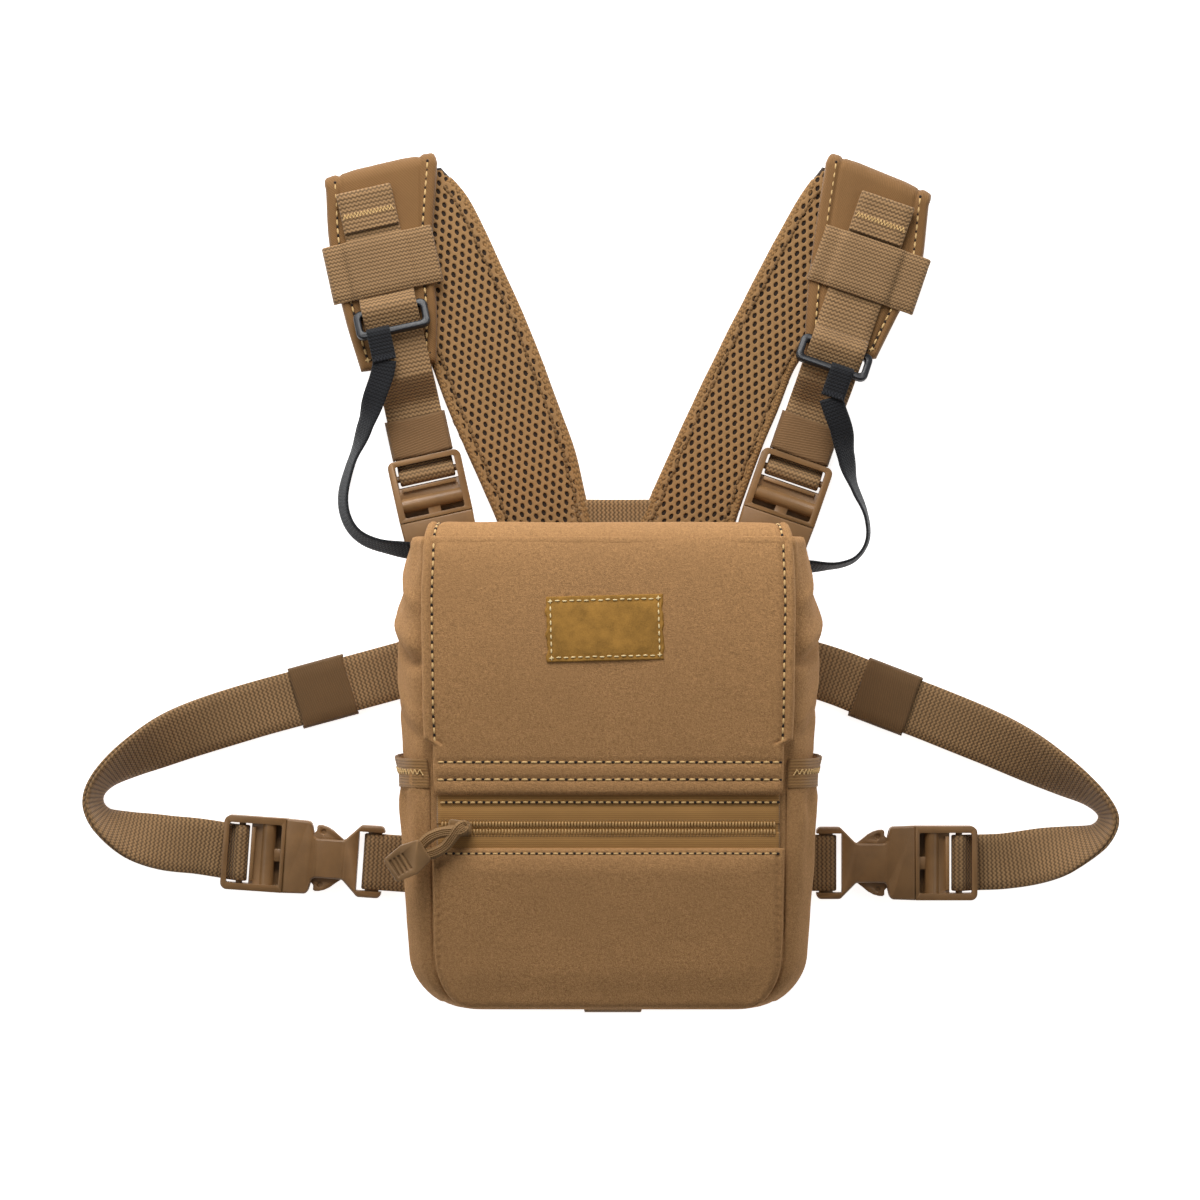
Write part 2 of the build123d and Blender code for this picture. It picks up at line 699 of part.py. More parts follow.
strap_thick = 2.6
strap_z = 0.5 + strap_thick / 2
bend_x = pack_half_width + 100.0
left_strap_line = ((-46.0, 69.9 - half_web, 0), (-95.0, 56.5 - half_web, 0), (-128.0, 47.5 - half_web, 0),
                   (-161.0, 38.5 - half_web, 0), (-bend_x - 3.0, 16.5, 22), (-bend_x - 24.0, 6.5, 50),
                   (-bend_x - 38.0, -3.5, 72), (-bend_x - 43.0, -13.0, 80), (-bend_x - 39.0, -22.0, 72),
                   (-bend_x - 27.0, -29.0, 45), (-bend_x - 12.0, -32.8, 18), (-bend_x + 3.0, -34.6, 0),
                   (-bend_x + 15.0, -36.7, 0))
right_strap_line = ((52.0, 67.0 - half_web, 0), (95.4, 56.3 - half_web, 0), (124.7, 45.1 - half_web, 0),
                    (149.0, 35.8 - half_web, 0), (bend_x - 9.0, 11.0, 22), (bend_x + 15.0, -2.0, 50),
                    (bend_x + 30.0, -12.0, 72), (bend_x + 36.5, -21.0, 80), (bend_x + 32.0, -29.5, 72),
                    (bend_x + 19.0, -35.5, 45), (bend_x + 5.0, -39.0, 18), (bend_x - 9.0, -41.3, 0),
                    (bend_x - 21.5, -41.9, 0))
left_keeper_turn = 15.25
right_keeper_turn = -20.9
plug_strap_start = 62.5


def strap_leg(line, bank_hand):
    """Two-ply webbing along (x, y, bank) points; it stands up on its inner edge round the bend."""
    sections = []
    count = len(line)
    for index in range(count):
        x, y, bank = line[index]
        before = line[max(index - 1, 0)]
        after = line[min(index + 1, count - 1)]
        along = Vector(after[0] - before[0], after[1] - before[1], 0).normalized()
        across = Vector(-along.Y, along.X, 0) * bank_hand
        roll = math.radians(bank)
        width_dir = across * math.cos(roll) + Vector(0, 0, 1) * math.sin(roll)
        z = strap_z + half_web * math.sin(roll)
        plane = Plane(origin=(x, y, z), x_dir=width_dir, z_dir=along)
        sections.append(plane * Rectangle(web_width, strap_thick))
    return loft(sections, ruled=True)


def side_strap(line, bank_hand, plug_place):
    """The whole side strap: its leg, the bend, and the roll round the plug's bar."""
    end = block((-half_web, plug_strap_start, strap_z - strap_thick / 2),
                (half_web, buckle_length + 0.4, strap_z + strap_thick / 2))
    roll = cross_rod(roll_outer, web_width, roll_bar_y, buckle_mid)
    roll -= cross_rod(roll_bar_radius + 0.1, web_width + 2, roll_bar_y, buckle_mid)
    return strap_leg(line, bank_hand) + plug_place * (end + roll)


keeper_length = 25.0
keeper_thick = 1.0


def strap_keeper(middle, turn):
    """Elastic sleeve that holds the strap's tail; it slides on the straight upper leg."""
    half = half_web + 0.4 + keeper_thick
    height = strap_thick / 2 + 0.4
    top = strap_z + height + keeper_thick
    body = block((-keeper_length / 2, -half, strap_z - height), (keeper_length / 2, half, top))
    gap = (keeper_length / 2 + 1, half_web + 0.4, 0)
    body -= block((-gap[0], -gap[1], strap_z - height + 0.15), (gap[0], gap[1], strap_z + height))
    return Pos(middle[0], middle[1], 0) * Rot(0, 0, turn) * body


# ---------------------------------------------------------------- every node

def build():
    """Every named piece of the pack, at rest."""
    pieces = {
        "back_panel": back_panel(),
        "left_side_panel": side_panel(-1),
        "right_side_panel": side_panel(1),
        "bottom_panel": bottom_panel(),
        "front_panel": front_panel(),
        "front_pocket_panel": front_pocket_panel(),
        "zipper_tape": zipper_tape(),
        "zipper_coils": zipper_coils(),
        "left_side_pocket": side_pouch(-1),
        "right_side_pocket": side_pouch(1),
        "pocket_bindings": pocket_bindings(),
        "bottom_webbing": bottom_webbing(),
        "front_magnets": front_magnets(),
        "harness_yoke": harness_yoke(),
        "yoke_bridge_webbing": yoke_bridge_webbing(),
        "lid_shell": lid_shell(),
        "lid_patch": lid_patch(),
        "lid_magnets": lid_magnets(),
        "zipper_slider": zipper_slider(),
        "pull_cord": pull_cord(),
        "pull_toggle": pull_toggle(),
        "left_pad_front": front_pad(left_front_outline, left_fold),
        "right_pad_front": front_pad(right_front_outline, right_fold),
        "left_pad_rear": rear_pad(left_rear_outline, left),
        "right_pad_rear": rear_pad(right_rear_outline, right),
        "left_tether": cord_tube("left_tether", left_tether_route, tether_radius),
        "right_tether": cord_tube("right_tether", right_tether_route, tether_radius),
        "left_side_strap": side_strap(left_strap_line, -1, left.lower_place()),
        "right_side_strap": side_strap(right_strap_line, 1, right.lower_place()),
        "left_strap_keeper": strap_keeper(left_strap_line[2], left_keeper_turn),
        "right_strap_keeper": strap_keeper(right_strap_line[2], right_keeper_turn),
    }
    upper_tabs = []
    lower_tabs = []
    for side in (left, right):
        pieces[side.name + "_shoulder_webbing"] = shoulder_webbing(side)
        pieces[side.name + "_sleeve"] = shoulder_sleeve(side)
        pieces[side.name + "_keeper_band"] = keeper_band(side)
        pieces[side.name + "_ring"] = tether_ring(side)
        pieces[side.name + "_tether_end"] = tether_end(side)
        for level, place in (("upper", side.upper_place()), ("lower", side.lower_place())):
            name = side.name + "_" + level
            pieces[name + "_socket"] = place * buckle_socket()
            pieces[name + "_plug"] = place * buckle_plug()
            pieces[name + "_lever_a"] = place * buckle_lever(-1)
            pieces[name + "_lever_b"] = place * buckle_lever(1)
        upper_tabs.append(side.upper_place() * anchor_tab(4.4, 4.0))
        reach = abs(side.lower_origin[0]) - pack_half_width + 8.0
        lower_tabs.append(side.lower_place() * anchor_tab(reach, 7.0))
    pieces["upper_anchor_tabs"] = Compound(children=upper_tabs)
    pieces["lower_anchor_tabs"] = Compound(children=lower_tabs)
    return pieces


if __name__ == "__main__":
    os.makedirs("parts", exist_ok=True)
    for name, piece in build().items():
        export_step(piece, os.path.join("parts", name + ".step"))
    print("wrote", len(os.listdir("parts")), "parts")
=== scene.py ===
# %% [markdown]
# # A binocular harness pack
# The imported CAD model is the frame: every joint, buckle and size comes from it. This script dresses it.
# Cloth, webbing, mesh and thread are built here as thin real things, most of them riding on the CAD
# body that they move with. Everything is in metres, in the frame's own axes: +Z out of the front panel,
# +Y towards the lid's hinge.

# %% Load the frame
import math

import bmesh
import bpy
from mathutils import Matrix, Vector, noise


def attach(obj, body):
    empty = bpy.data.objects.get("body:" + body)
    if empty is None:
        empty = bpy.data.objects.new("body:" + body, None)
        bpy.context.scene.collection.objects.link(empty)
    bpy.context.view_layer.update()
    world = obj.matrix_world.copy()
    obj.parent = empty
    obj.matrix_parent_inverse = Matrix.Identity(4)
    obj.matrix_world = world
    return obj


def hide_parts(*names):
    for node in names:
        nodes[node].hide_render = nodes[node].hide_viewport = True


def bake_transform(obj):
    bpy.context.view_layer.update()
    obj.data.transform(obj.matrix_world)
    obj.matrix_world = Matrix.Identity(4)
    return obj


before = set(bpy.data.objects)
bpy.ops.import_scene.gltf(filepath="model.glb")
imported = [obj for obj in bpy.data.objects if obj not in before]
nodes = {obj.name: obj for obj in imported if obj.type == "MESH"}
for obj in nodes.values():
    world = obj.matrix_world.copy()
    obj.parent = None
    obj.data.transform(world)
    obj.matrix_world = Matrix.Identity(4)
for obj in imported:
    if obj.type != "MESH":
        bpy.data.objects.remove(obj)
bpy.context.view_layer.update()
MM = 0.001

# %% [markdown]
# ## Three ways to make a surface
# Most soft parts here are a grid of points bent by a rule, or a ribbon drawn along a line. The grid
# keeps a UV map in metres, so a weave always has its true size, however the cloth is bent. Writing
# these two helpers once is shorter than modelling each strap, and every strap then agrees.

# %% Smooth lines, ribbons and grids


def smooth_line(points, step):
    """Points of any length, drawn into an even smooth line with about one point per step."""
    rows = [tuple(float(v) for v in p) for p in points]
    first = tuple(2 * a - b for a, b in zip(rows[0], rows[1]))
    last = tuple(2 * a - b for a, b in zip(rows[-1], rows[-2]))
    rows = [first] + rows + [last]
    line = []
    for p0, p1, p2, p3 in zip(rows, rows[1:], rows[2:], rows[3:]):
        gap = math.dist(p1[:3], p2[:3])
        count = max(1, round(gap / step))
        for k in range(count):
            t = k / count
            line.append(tuple(
                0.5 * (2 * b + (c - a) * t + (2 * a - 5 * b + 4 * c - d) * t ** 2
                       + (3 * b - a - 3 * c + d) * t ** 3)
                for a, b, c, d in zip(p0, p1, p2, p3)))
    line.append(rows[-2])
    return line


def spread_evenly(line, count):
    """The same line drawn with a set number of points, all the same distance apart."""
    along = [0.0]
    for a, b in zip(line, line[1:]):
        along.append(along[-1] + math.dist(a, b))
    made = []
    k = 0
    for step in range(count):
        goal = along[-1] * step / (count - 1)
        while k < len(line) - 2 and along[k + 1] < goal:
            k += 1
        t = (goal - along[k]) / max(along[k + 1] - along[k], 1e-12)
        made.append(tuple(a + (b - a) * t for a, b in zip(line[k], line[k + 1])))
    return made


def line_through(pairs, at):
    """Value of a piecewise smooth curve through (position, value) pairs, at a position."""
    if at <= pairs[0][0]:
        return pairs[0][1]
    for (x0, v0), (x1, v1) in zip(pairs, pairs[1:]):
        if at <= x1:
            t = (at - x0) / (x1 - x0)
            return v0 + (v1 - v0) * t * t * (3 - 2 * t)
    return pairs[-1][1]


def new_object(name, mesh, smooth=True):
    """An object for a mesh, linked to the scene, with smooth faces unless told otherwise."""
    mesh.update()
    for polygon in mesh.polygons:
        polygon.use_smooth = smooth
    obj = bpy.data.objects.new(name, mesh)
    bpy.context.scene.collection.objects.link(obj)
    return obj


def grid_object(name, columns, rows, point, flat, around=False, cap=False, closed=False):
    """A grid bent by point(i, j); flat(i, j) is the same place on the uncut cloth, in metres."""
    verts = [point(i, j) for j in range(rows) for i in range(columns)]
    faces = []
    wrap = columns if around else columns - 1
    for j in range(rows if closed else rows - 1):
        n = (j + 1) % rows
        for i in range(wrap):
            k = (i + 1) % columns
            faces.append((j * columns + i, j * columns + k, n * columns + k, n * columns + i))
    if cap:
        for j in (0, rows - 1):
            ring = [j * columns + i for i in range(columns)]
            faces.append(ring if j else ring[::-1])
    mesh = bpy.data.meshes.new(name)
    mesh.from_pydata([tuple(v) for v in verts], [], faces)
    uv = mesh.uv_layers.new(name="UVMap")
    for polygon in mesh.polygons:
        for loop in polygon.loop_indices:
            index = mesh.loops[loop].vertex_index
            i, j = index % columns, index // columns
            if around and wrap == columns and i == 0 and max(
                    mesh.loops[n].vertex_index % columns for n in polygon.loop_indices) == columns - 1:
                i = columns
            uv.data[loop].uv = flat(i, j)
    bm = bmesh.new()
    bm.from_mesh(mesh)
    bmesh.ops.recalc_face_normals(bm, faces=bm.faces)
    bm.to_mesh(mesh)
    bm.free()
    return new_object(name, mesh)


def strap_section(width, thick, edge, ribs):
    """Outline of a strap cut across: rounded edges, and long ribs where the weave has them."""
    half, up = width / 2, thick / 2
    soft = thick * edge
    steps = ribs * 6 if ribs else 6
    top = []
    for k in range(steps + 1):
        x = half - soft - (width - 2 * soft) * k / steps
        dip = 0.5 * up * (1 - abs(math.sin(math.pi * k / 6))) if ribs else 0.0
        top.append((x, up - dip))
    right = [(half, -(up - soft)), (half, up - soft)]
    return right + top + [(-x, -z) for x, z in right] + [(-x, -z) for x, z in top]


def ribbon(name, line, width, thick, edge=0.35, ribs=0):
    """A closed strap along (point, across) pairs, its normal turning with the strap.

    The UV map's u is the distance across from the middle and v the distance along, in metres.
    """
    section = strap_section(width, thick, edge, ribs)
    along = [0.0]
    for (a, _), (b, _) in zip(line, line[1:]):
        along.append(along[-1] + (b - a).length)
    frames = []
    for k, (centre, across) in enumerate(line):
        before = line[max(k - 1, 0)][0]
        after = line[min(k + 1, len(line) - 1)][0]
        tangent = (after - before).normalized()
        side = (across - tangent * across.dot(tangent)).normalized()
        normal = side.cross(tangent)
        frames.append((centre, side, normal))
    count = len(section)

    def point(i, j):
        centre, side, normal = frames[j]
        x, z = section[i % count]
        return centre + side * x + normal * z

    return grid_object(name, count, len(frames), point,
                       lambda i, j: (section[i % count][0], along[j]), around=True, cap=True)


# %% [markdown]
# ## Finishes
# A cloth is mostly its weave. Each finish is a small node tree: a base colour, a pattern of yarns from
# the UV map (or a fine grain in object space for brushed cloth), the same pattern as bump, and a broad
# noise so that no two stretches have quite the same tone. Node trees keep the pattern sharp at any size,
# which an image would not.

# %% A small node-tree writer


class Tree:
    """Adds shader nodes to one material and links them as they are made."""

    def __init__(self, name):
        self.material = bpy.data.materials.new(name)
        self.material.use_nodes = True
        self.nodes = self.material.node_tree.nodes
        self.links = self.material.node_tree.links
        self.shader = self.nodes["Principled BSDF"]

    def add(self, kind, settings=None, **sockets):
        node = self.nodes.new(kind)
        for key, value in (settings or {}).items():
            setattr(node, key, value)
        for key, value in sockets.items():
            self.put(node.inputs[int(key[1:])] if key[0] == "i" and key[1:].isdigit()
                     else node.inputs[key.replace("_", " ")], value)
        return node

    def put(self, socket, value):
        if isinstance(value, bpy.types.NodeSocket):
            self.links.new(value, socket)
        else:
            socket.default_value = value

    def math(self, operation, a, b=0.0, clamp=False):
        return self.add("ShaderNodeMath", {"operation": operation, "use_clamp": clamp}, i0=a, i1=b).outputs[0]

    def wave(self, value, pitch):
        """Sine of a distance, once per pitch."""
        return self.math("SINE", self.math("MULTIPLY", value, 2 * math.pi / pitch))

    def noise(self, where, scale, detail=2.0, rough=0.5):
        return self.add("ShaderNodeTexNoise", None, Vector=where, Scale=scale, Detail=detail,
                        Roughness=rough).outputs["Fac"]

    def mix(self, share, a, b):
        """Blend of two colours."""
        node = self.add("ShaderNodeMix", {"data_type": "RGBA"}, i0=share)
        self.put(node.inputs[6], a)
        self.put(node.inputs[7], b)
        return node.outputs[2]

    def remap(self, value, low, high, to_low, to_high):
        node = self.add("ShaderNodeMapRange", None, i0=value, i1=low, i2=high, i3=to_low, i4=to_high)
        return node.outputs[0]

    def bump(self, height, depth, under=None):
        node = self.add("ShaderNodeBump", None, Strength=1.0, Distance=depth, Height=height)
        if under is not None:
            self.put(node.inputs["Normal"], under)
        return node.outputs["Normal"]

    def place(self):
        return self.add("ShaderNodeTexCoord").outputs["Object"]

    def cloth_uv(self):
        """Distance across and distance along, from the UV map in metres."""
        split = self.add("ShaderNodeSeparateXYZ", None, i0=self.add("ShaderNodeUVMap").outputs[0])
        return split.outputs[0], split.outputs[1]

    def finish(self, colour, normal=None, **values):
        self.put(self.shader.inputs["Base Color"], colour)
        if normal is not None:
            self.put(self.shader.inputs["Normal"], normal)
        for key, value in values.items():
            self.put(self.shader.inputs[key.replace("_", " ")], value)
        return self.material


def tone(red, green, blue):
    """A display colour from 0 to 255 as the linear colour that a shader takes."""
    def linear(value):
        value = value / 255
        return value / 12.92 if value < 0.04045 else ((value + 0.055) / 1.055) ** 2.4
    return (linear(red), linear(green), linear(blue), 1.0)


def deeper(colour, share):
    """The same colour, darker or lighter by a factor."""
    return (colour[0] * share, colour[1] * share, colour[2] * share, 1.0)


# %% Brushed softshell, the pack's own cloth


def softshell(name, colour):
    """Brushed cloth: mottled nap half a millimetre across, matt, with a soft sheen."""
    t = Tree(name)
    where = t.place()
    grain = t.noise(where, 2200.0, 3.0, 0.65)
    nap = t.noise(where, 850.0, 4.0, 0.7)
    cloud = t.noise(where, 22.0, 3.0)
    mottle = t.math("ADD", t.math("MULTIPLY", grain, 0.55), t.math("MULTIPLY", nap, 0.45))
    mottle = t.remap(mottle, 0.36, 0.64, 0.0, 1.0)
    base = t.mix(mottle, deeper(colour, 0.58), deeper(colour, 1.38))
    base = t.mix(t.remap(cloud, 0.35, 0.65, 0.0, 0.35), base, deeper(colour, 0.86))
    normal = t.bump(mottle, 0.00016)
    return t.finish(base, normal, Roughness=0.92, Sheen_Weight=0.35, Sheen_Roughness=0.45,
                    Sheen_Tint=deeper(colour, 1.7), Specular_IOR_Level=0.2)


# %% Webbing, elastic and tape


def woven(name, colour, across, along, light=1.35, dark=0.42, depth=0.00022, diagonal=0.0, fuzz=0.25,
          turned=False):
    """Woven cloth from the UV map: yarn crossings every (across, along) metres, dark in the gaps."""
    t = Tree(name)
    u, v = t.cloth_uv()
    if turned:
        u, v = v, u
    if diagonal:
        v = t.math("ADD", v, t.math("MULTIPLY", u, diagonal))
    crossing = t.wave(v, along * 2) if diagonal else t.math("MULTIPLY", t.wave(u, across), t.wave(v, along))
    rib = t.math("ABSOLUTE", t.wave(v, along * 2))
    height = t.math("ADD", t.math("MULTIPLY", crossing, 0.32), t.math("MULTIPLY", rib, 0.5))
    height = t.math("ADD", height, 0.2)
    thread = t.noise(t.place(), 2600.0, 2.0)
    height = t.math("ADD", height, t.math("MULTIPLY", thread, fuzz))
    shade = t.remap(height, 0.15, 0.85, 0.0, 1.0)
    base = t.mix(shade, deeper(colour, dark), deeper(colour, light))
    base = t.mix(t.remap(t.noise(t.place(), 60.0), 0.35, 0.65, 0.0, 0.25), base, deeper(colour, 0.75))
    return t.finish(base, t.bump(height, depth), Roughness=0.78, Sheen_Weight=0.15, Sheen_Roughness=0.4,
                    Specular_IOR_Level=0.3)


# %% Moulded parts


def moulded(name, colour, grain=1500.0, depth=0.00006, rough=0.42):
    """Injection-moulded plastic: a fine spark-eroded texture, with a painted highlight that makes sharp edges
    paler.
    """
    t = Tree(name)
    where = t.place()
    pit = t.noise(where, grain, 2.0, 0.6)
    cloud = t.noise(where, 90.0, 3.0)
    # Painted highlight: sharp edges, found by their pointiness, are mixed towards a much paler tone.
    edge = t.add("ShaderNodeNewGeometry").outputs["Pointiness"]
    edge_highlight = t.remap(edge, 0.53, 0.62, 0.0, 0.55)
    base = t.mix(t.remap(cloud, 0.35, 0.65, 0.0, 1.0), deeper(colour, 0.9), deeper(colour, 1.1))
    base = t.mix(edge_highlight, base, deeper(colour, 1.7))
    gloss = t.remap(pit, 0.3, 0.7, rough - 0.08, rough + 0.1)
    return t.finish(base, t.bump(pit, depth), Roughness=gloss, Specular_IOR_Level=0.45)


# %% The finishes of this pack

SHELL_TONE = tone(161, 121, 79)
WEB_TONE = tone(130, 101, 68)
shell_cloth = softshell("brushed_softshell", SHELL_TONE)
# Painted shade: the inside of the pack takes the same brushed cloth at 0.55 of its tone.
inner_shade_cloth = softshell("inside_shade_shell", deeper(SHELL_TONE, 0.55))
web_cloth = woven("nylon_webbing", WEB_TONE, 1.9 * MM, 1.9 * MM, 1.5, 0.24, 0.00034)
band_cloth = woven("band_webbing", WEB_TONE, 1.6 * MM, 1.7 * MM, 1.45, 0.28, 0.0003, turned=True)
keeper_cloth = woven("keeper_elastic", tone(108, 80, 49), 0.6 * MM, 0.5 * MM, 1.15, 0.7, 0.00012, 0.6)
tape_cloth = woven("zipper_tape", tone(150, 110, 60), 0.9 * MM, 0.9 * MM, 1.2, 0.7, 0.00008)
elastic_cloth = woven("elastic_band", tone(122, 91, 58), 0.6 * MM, 0.55 * MM, 1.15, 0.68, 0.00012, 0.6)
pad_cloth = woven("pad_nylon", tone(124, 89, 50), 0.75 * MM, 0.6 * MM, 1.1, 0.8, 0.00008, 1.0)
tether_cloth = woven("black_webbing", tone(17, 18, 21), 1.5 * MM, 1.6 * MM, 1.9, 0.3, 0.00026)
cord_cloth = woven("braided_cord", tone(142, 109, 70), 0.5 * MM, 0.9 * MM, 1.15, 0.6, 0.0001)
net_yarn = woven("net_yarn", tone(166, 126, 80), 0.6 * MM, 0.6 * MM, 1.2, 0.6, 0.0001)
# Painted shade: the foam under the spacer net is very dark so that the net's holes read as shaded.
net_hole_shade = woven("net_hole_shade", tone(44, 30, 17), 0.8 * MM, 0.8 * MM, 1.2, 0.5, 0.0001)
buckle_stuff = moulded("buckle_acetal", tone(128, 95, 59))
toggle_stuff = moulded("toggle_plastic", tone(126, 95, 60), rough=0.48)
ring_stuff = moulded("ring_plastic", tone(23, 24, 28), 1500.0, 0.00004, 0.38)
coil_stuff = moulded("coil_nylon", tone(156, 122, 76), 2600.0, 0.00002, 0.5)
slider_stuff = moulded("slider_paint", tone(136, 104, 66), 1200.0, 0.00002, 0.35)

# %% [markdown]
# ## Padded panels
# A pad is two skins that meet round its rim. A row of the pad is a pair of points, one on each edge. The
# helper fills the row with points, lifts the upper skin and drops the lower one, and lets both fall to
# nothing along a round rim. A rule for extra height then adds seams, wrinkles and gathers, so the
# creases are real shape and the light falls on them as it does on cloth.

# %% Padded panels from rows


def ease(value):
    """0 to 1, with no slope at either end."""
    value = min(max(value, 0.0), 1.0)
    return value * value * (3 - 2 * value)


def rim(distance, radius):
    """Height of a round rim at some distance inside the edge, from 0 to 1."""
    if distance >= radius:
        return 1.0
    share = 1 - max(distance, 0.0) / radius
    return math.sqrt(max(0.0, 1 - share * share))


def quilt(name, rows, thick, edge, columns=60, lift=None, ends=(True, True), lower=1.0):
    """A closed pad over rows of (left, right) points; lift(x, y) adds height to the upper skin.

    x and y are distances in metres: across from the row's middle, and along from the first row.
    """
    count = len(rows)
    middles = [(a + b) / 2 for a, b in rows]
    along = [0.0]
    for a, b in zip(middles, middles[1:]):
        along.append(along[-1] + (b - a).length)
    total = along[-1]
    half = columns - 1
    shares = []
    for k in range(columns):
        flat = -1 + 2 * k / half
        shares.append(math.sin(flat * math.pi / 2) * 0.35 + flat * 0.65)
    ring = shares + shares[-2:0:-1]
    frames = []
    for j in range(count):
        left, right = rows[j]
        tangent = middles[min(j + 1, count - 1)] - middles[max(j - 1, 0)]
        across = right - left
        normal = across.cross(tangent).normalized()
        frames.append((middles[j], across, across.length, normal))

    def flat_place(i, j):
        return ring[i % len(ring)] * frames[j][2] / 2, along[j]

    def point(i, j):
        middle, across, width, normal = frames[j]
        share = ring[i]
        x = share * width / 2
        gap = width / 2 - abs(x)
        height = rim(gap, edge)
        if ends[0]:
            height *= rim(along[j], edge)
        if ends[1]:
            height *= rim(total - along[j], edge)
        upper = i < columns
        up = thick / 2 * height
        if upper:
            if lift:
                up += lift(x, along[j]) * min(1.0, height * 1.2)
            return middle + across * (share / 2) + normal * up
        return middle + across * (share / 2) - normal * (up * lower)

    return grid_object(name, len(ring), count, point, flat_place, around=True, cap=True)


def rows_between(pairs, step):
    """Smooth rows of (left, right) points through a few given ones."""
    flat = [tuple(a) + tuple(b) for a, b in pairs]
    return [(Vector(p[:3]), Vector(p[3:])) for p in smooth_line(flat, step)]


def even_ends(length, edge, step):
    """Distances along a pad, closer together where its two ends are round."""
    fine = [edge * (1 - math.cos(math.pi / 2 * k / 5)) for k in range(5)]
    count = max(2, round((length - 2 * edge) / step))
    middle = [edge + (length - 2 * edge) * k / count for k in range(count + 1)]
    return fine + middle + [length - d for d in reversed(fine)]


def ripple(x, y, size, seed=0.0):
    """A smooth random height from -1 to 1 whose waves are about that long."""
    return noise.noise(Vector((x / size + seed, y / size - seed, seed * 0.37)))


def groove(distance, width):
    """1 on a line, falling to 0 at that distance from it."""
    return math.exp(-(distance / width) ** 2)


def dress(obj, body, material, slot=None, *stands_for):
    """Gives a piece its finish and the body it rides on, and hides the CAD nodes it stands for. The slot
    argument is not used.
    """
    if material is not None:
        obj.data.materials.clear()
        obj.data.materials.append(material)
    if stands_for:
        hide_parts(*stands_for)
    if body:
        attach(obj, body)
    return obj
